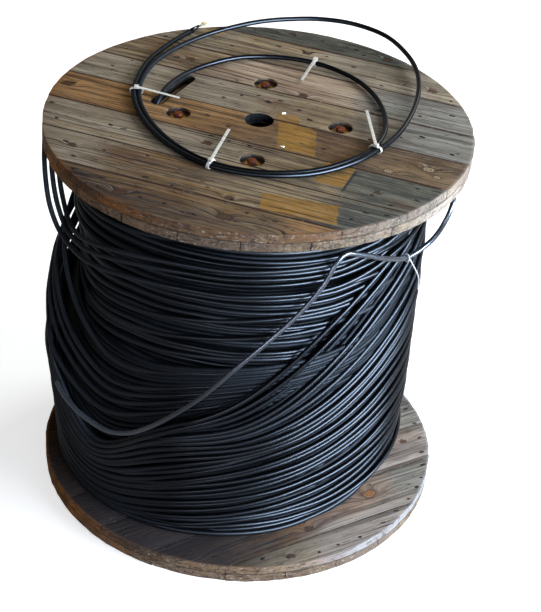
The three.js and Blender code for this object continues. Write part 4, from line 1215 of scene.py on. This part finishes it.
def staple_paths():
    paths = []
    for u, v, turn in STAPLES:
        board = 1 + sum(v > seam for seam in LAYERS["top_outer"][1])
        x, y = turned_point(u, v, TOP_TURN)
        z = BOARD_TOPS[f"top_outer_board_{board}"]
        reach = Vector((5 * math.cos(turn), 5 * math.sin(turn), 0))
        paths.append([(Vector((x, y, z + rise)) + side * reach, 1.2) for side, rise in STAPLE_BOW])
    return paths


for i in range(1, 5):
    softened(f"tie_rod_{i}", rust, "rusty_steel", 0.6)
    softened(f"rod_cap_{i}", rust, "rusty_steel", 0.5)
    softened(f"rod_washer_{i}", zinc, "zinc_steel", 0.4)
    softened(f"rod_nut_{i}", rust, "rusty_steel", 0.6)
    softened(f"nylon_tie_{i}", nylon, "white_nylon", 0.25)
softened("string_tie", string, "white_string", 0.3)
prongs = softened("coil_end_prongs", sheath, "cable_sheath", 0.3)
tuft = dress(open_tubes("yarn_tuft", yarn_paths(), yarn), "yellow_yarn", "coil_end_yarn")
tape = dress(open_tubes("tape_wraps", tape_paths(), sheath), "cable_sheath")
dress(open_tubes("staples", staple_paths(), staple_steel), "zinc_steel")

# ---- Floor and light ----
FLOOR_GLOW = 0.6
FLOOR_HALF, FLOOR_Z = 30, -0.0005  # in metres


def floor():
    """A pale floor that looks white from everywhere, and still takes the drum's shadow."""
    s = Shade("floor")
    s.set(Base_Color=(0.8, 0.8, 0.8), Roughness=0.9, Specular_IOR_Level=0.1)
    glow = s.node("ShaderNodeEmission", [("Strength", s.seen_directly() * FLOOR_GLOW)])
    s.put(s.node("ShaderNodeAddShader", enumerate((s.surface, glow))), s.out.inputs[0])
    corners = [(x * FLOOR_HALF, y * FLOOR_HALF, FLOOR_Z) for x, y in ((-1, -1), (1, -1), (1, 1), (-1, 1))]
    mesh_object("floor", corners, [(0, 1, 2, 3)], s.mat, False)


def area_light(name, place, aim, size, power, colour, gloss_only=False, roll=0):
    data = bpy.data.lights.new(name, "AREA")
    data.shape = "RECTANGLE"
    data.size, data.size_y = size
    data.energy = power
    data.color = colour
    lamp = link_object(name, data)
    lamp.location = place
    turn = (Vector(aim) - Vector(place)).to_track_quat("-Z", "Y")
    lamp.rotation_euler = (turn @ Quaternion((0, 0, 1), math.radians(roll))).to_euler()
    lamp.visible_camera = False
    lamp.visible_diffuse = not gloss_only


def backdrop(fill, ceiling, low, high):
    """White at the horizon and darker overhead; other rays than those that show it get a plain fill."""
    world = bpy.data.worlds.new("world")
    bpy.context.scene.world = world
    world.use_nodes = True
    nodes = Nodes(world.node_tree)
    rise = nodes.level(nodes.split(nodes.coords("Generated"))[2], low, high, 1.0, ceiling, "LINEAR")
    strength = nodes.level(nodes.seen_directly(), 0.0, 1.0, fill, rise, "LINEAR")
    shown = nodes.tree.nodes["Background"]
    nodes.put((1, 1, 1), shown.inputs["Color"])
    nodes.put(strength, shown.inputs["Strength"])


floor()
area_light("soft_right", (4.7, -2.6, 2.1), (0.1, 0, 0.5), (2.8, 3.0), 350, (0.95, 0.98, 1.0))
area_light("soft_back", (2.5, 2.3, 2.6), (0, 0, 0.6), (1.8, 1.8), 100, (0.95, 0.98, 1.0))
# These two light only gloss, and give the sheath its long highlights.
area_light("sheen_right", (2.9, -2.3, 1.9), (0.1, 0, 0.5), (4.6, 1.9), 9100, (0.52, 0.71, 1.0), True)
area_light("sheen_front", (-1.3, -3.35, 1.25), (0, 0, 0.5), (3.4, 0.5), 290, (0.62, 0.72, 1.0), True, -30)
backdrop(fill=0.28, ceiling=0.15, low=0.25, high=0.6)
bpy.context.scene.view_settings.view_transform = "Standard"
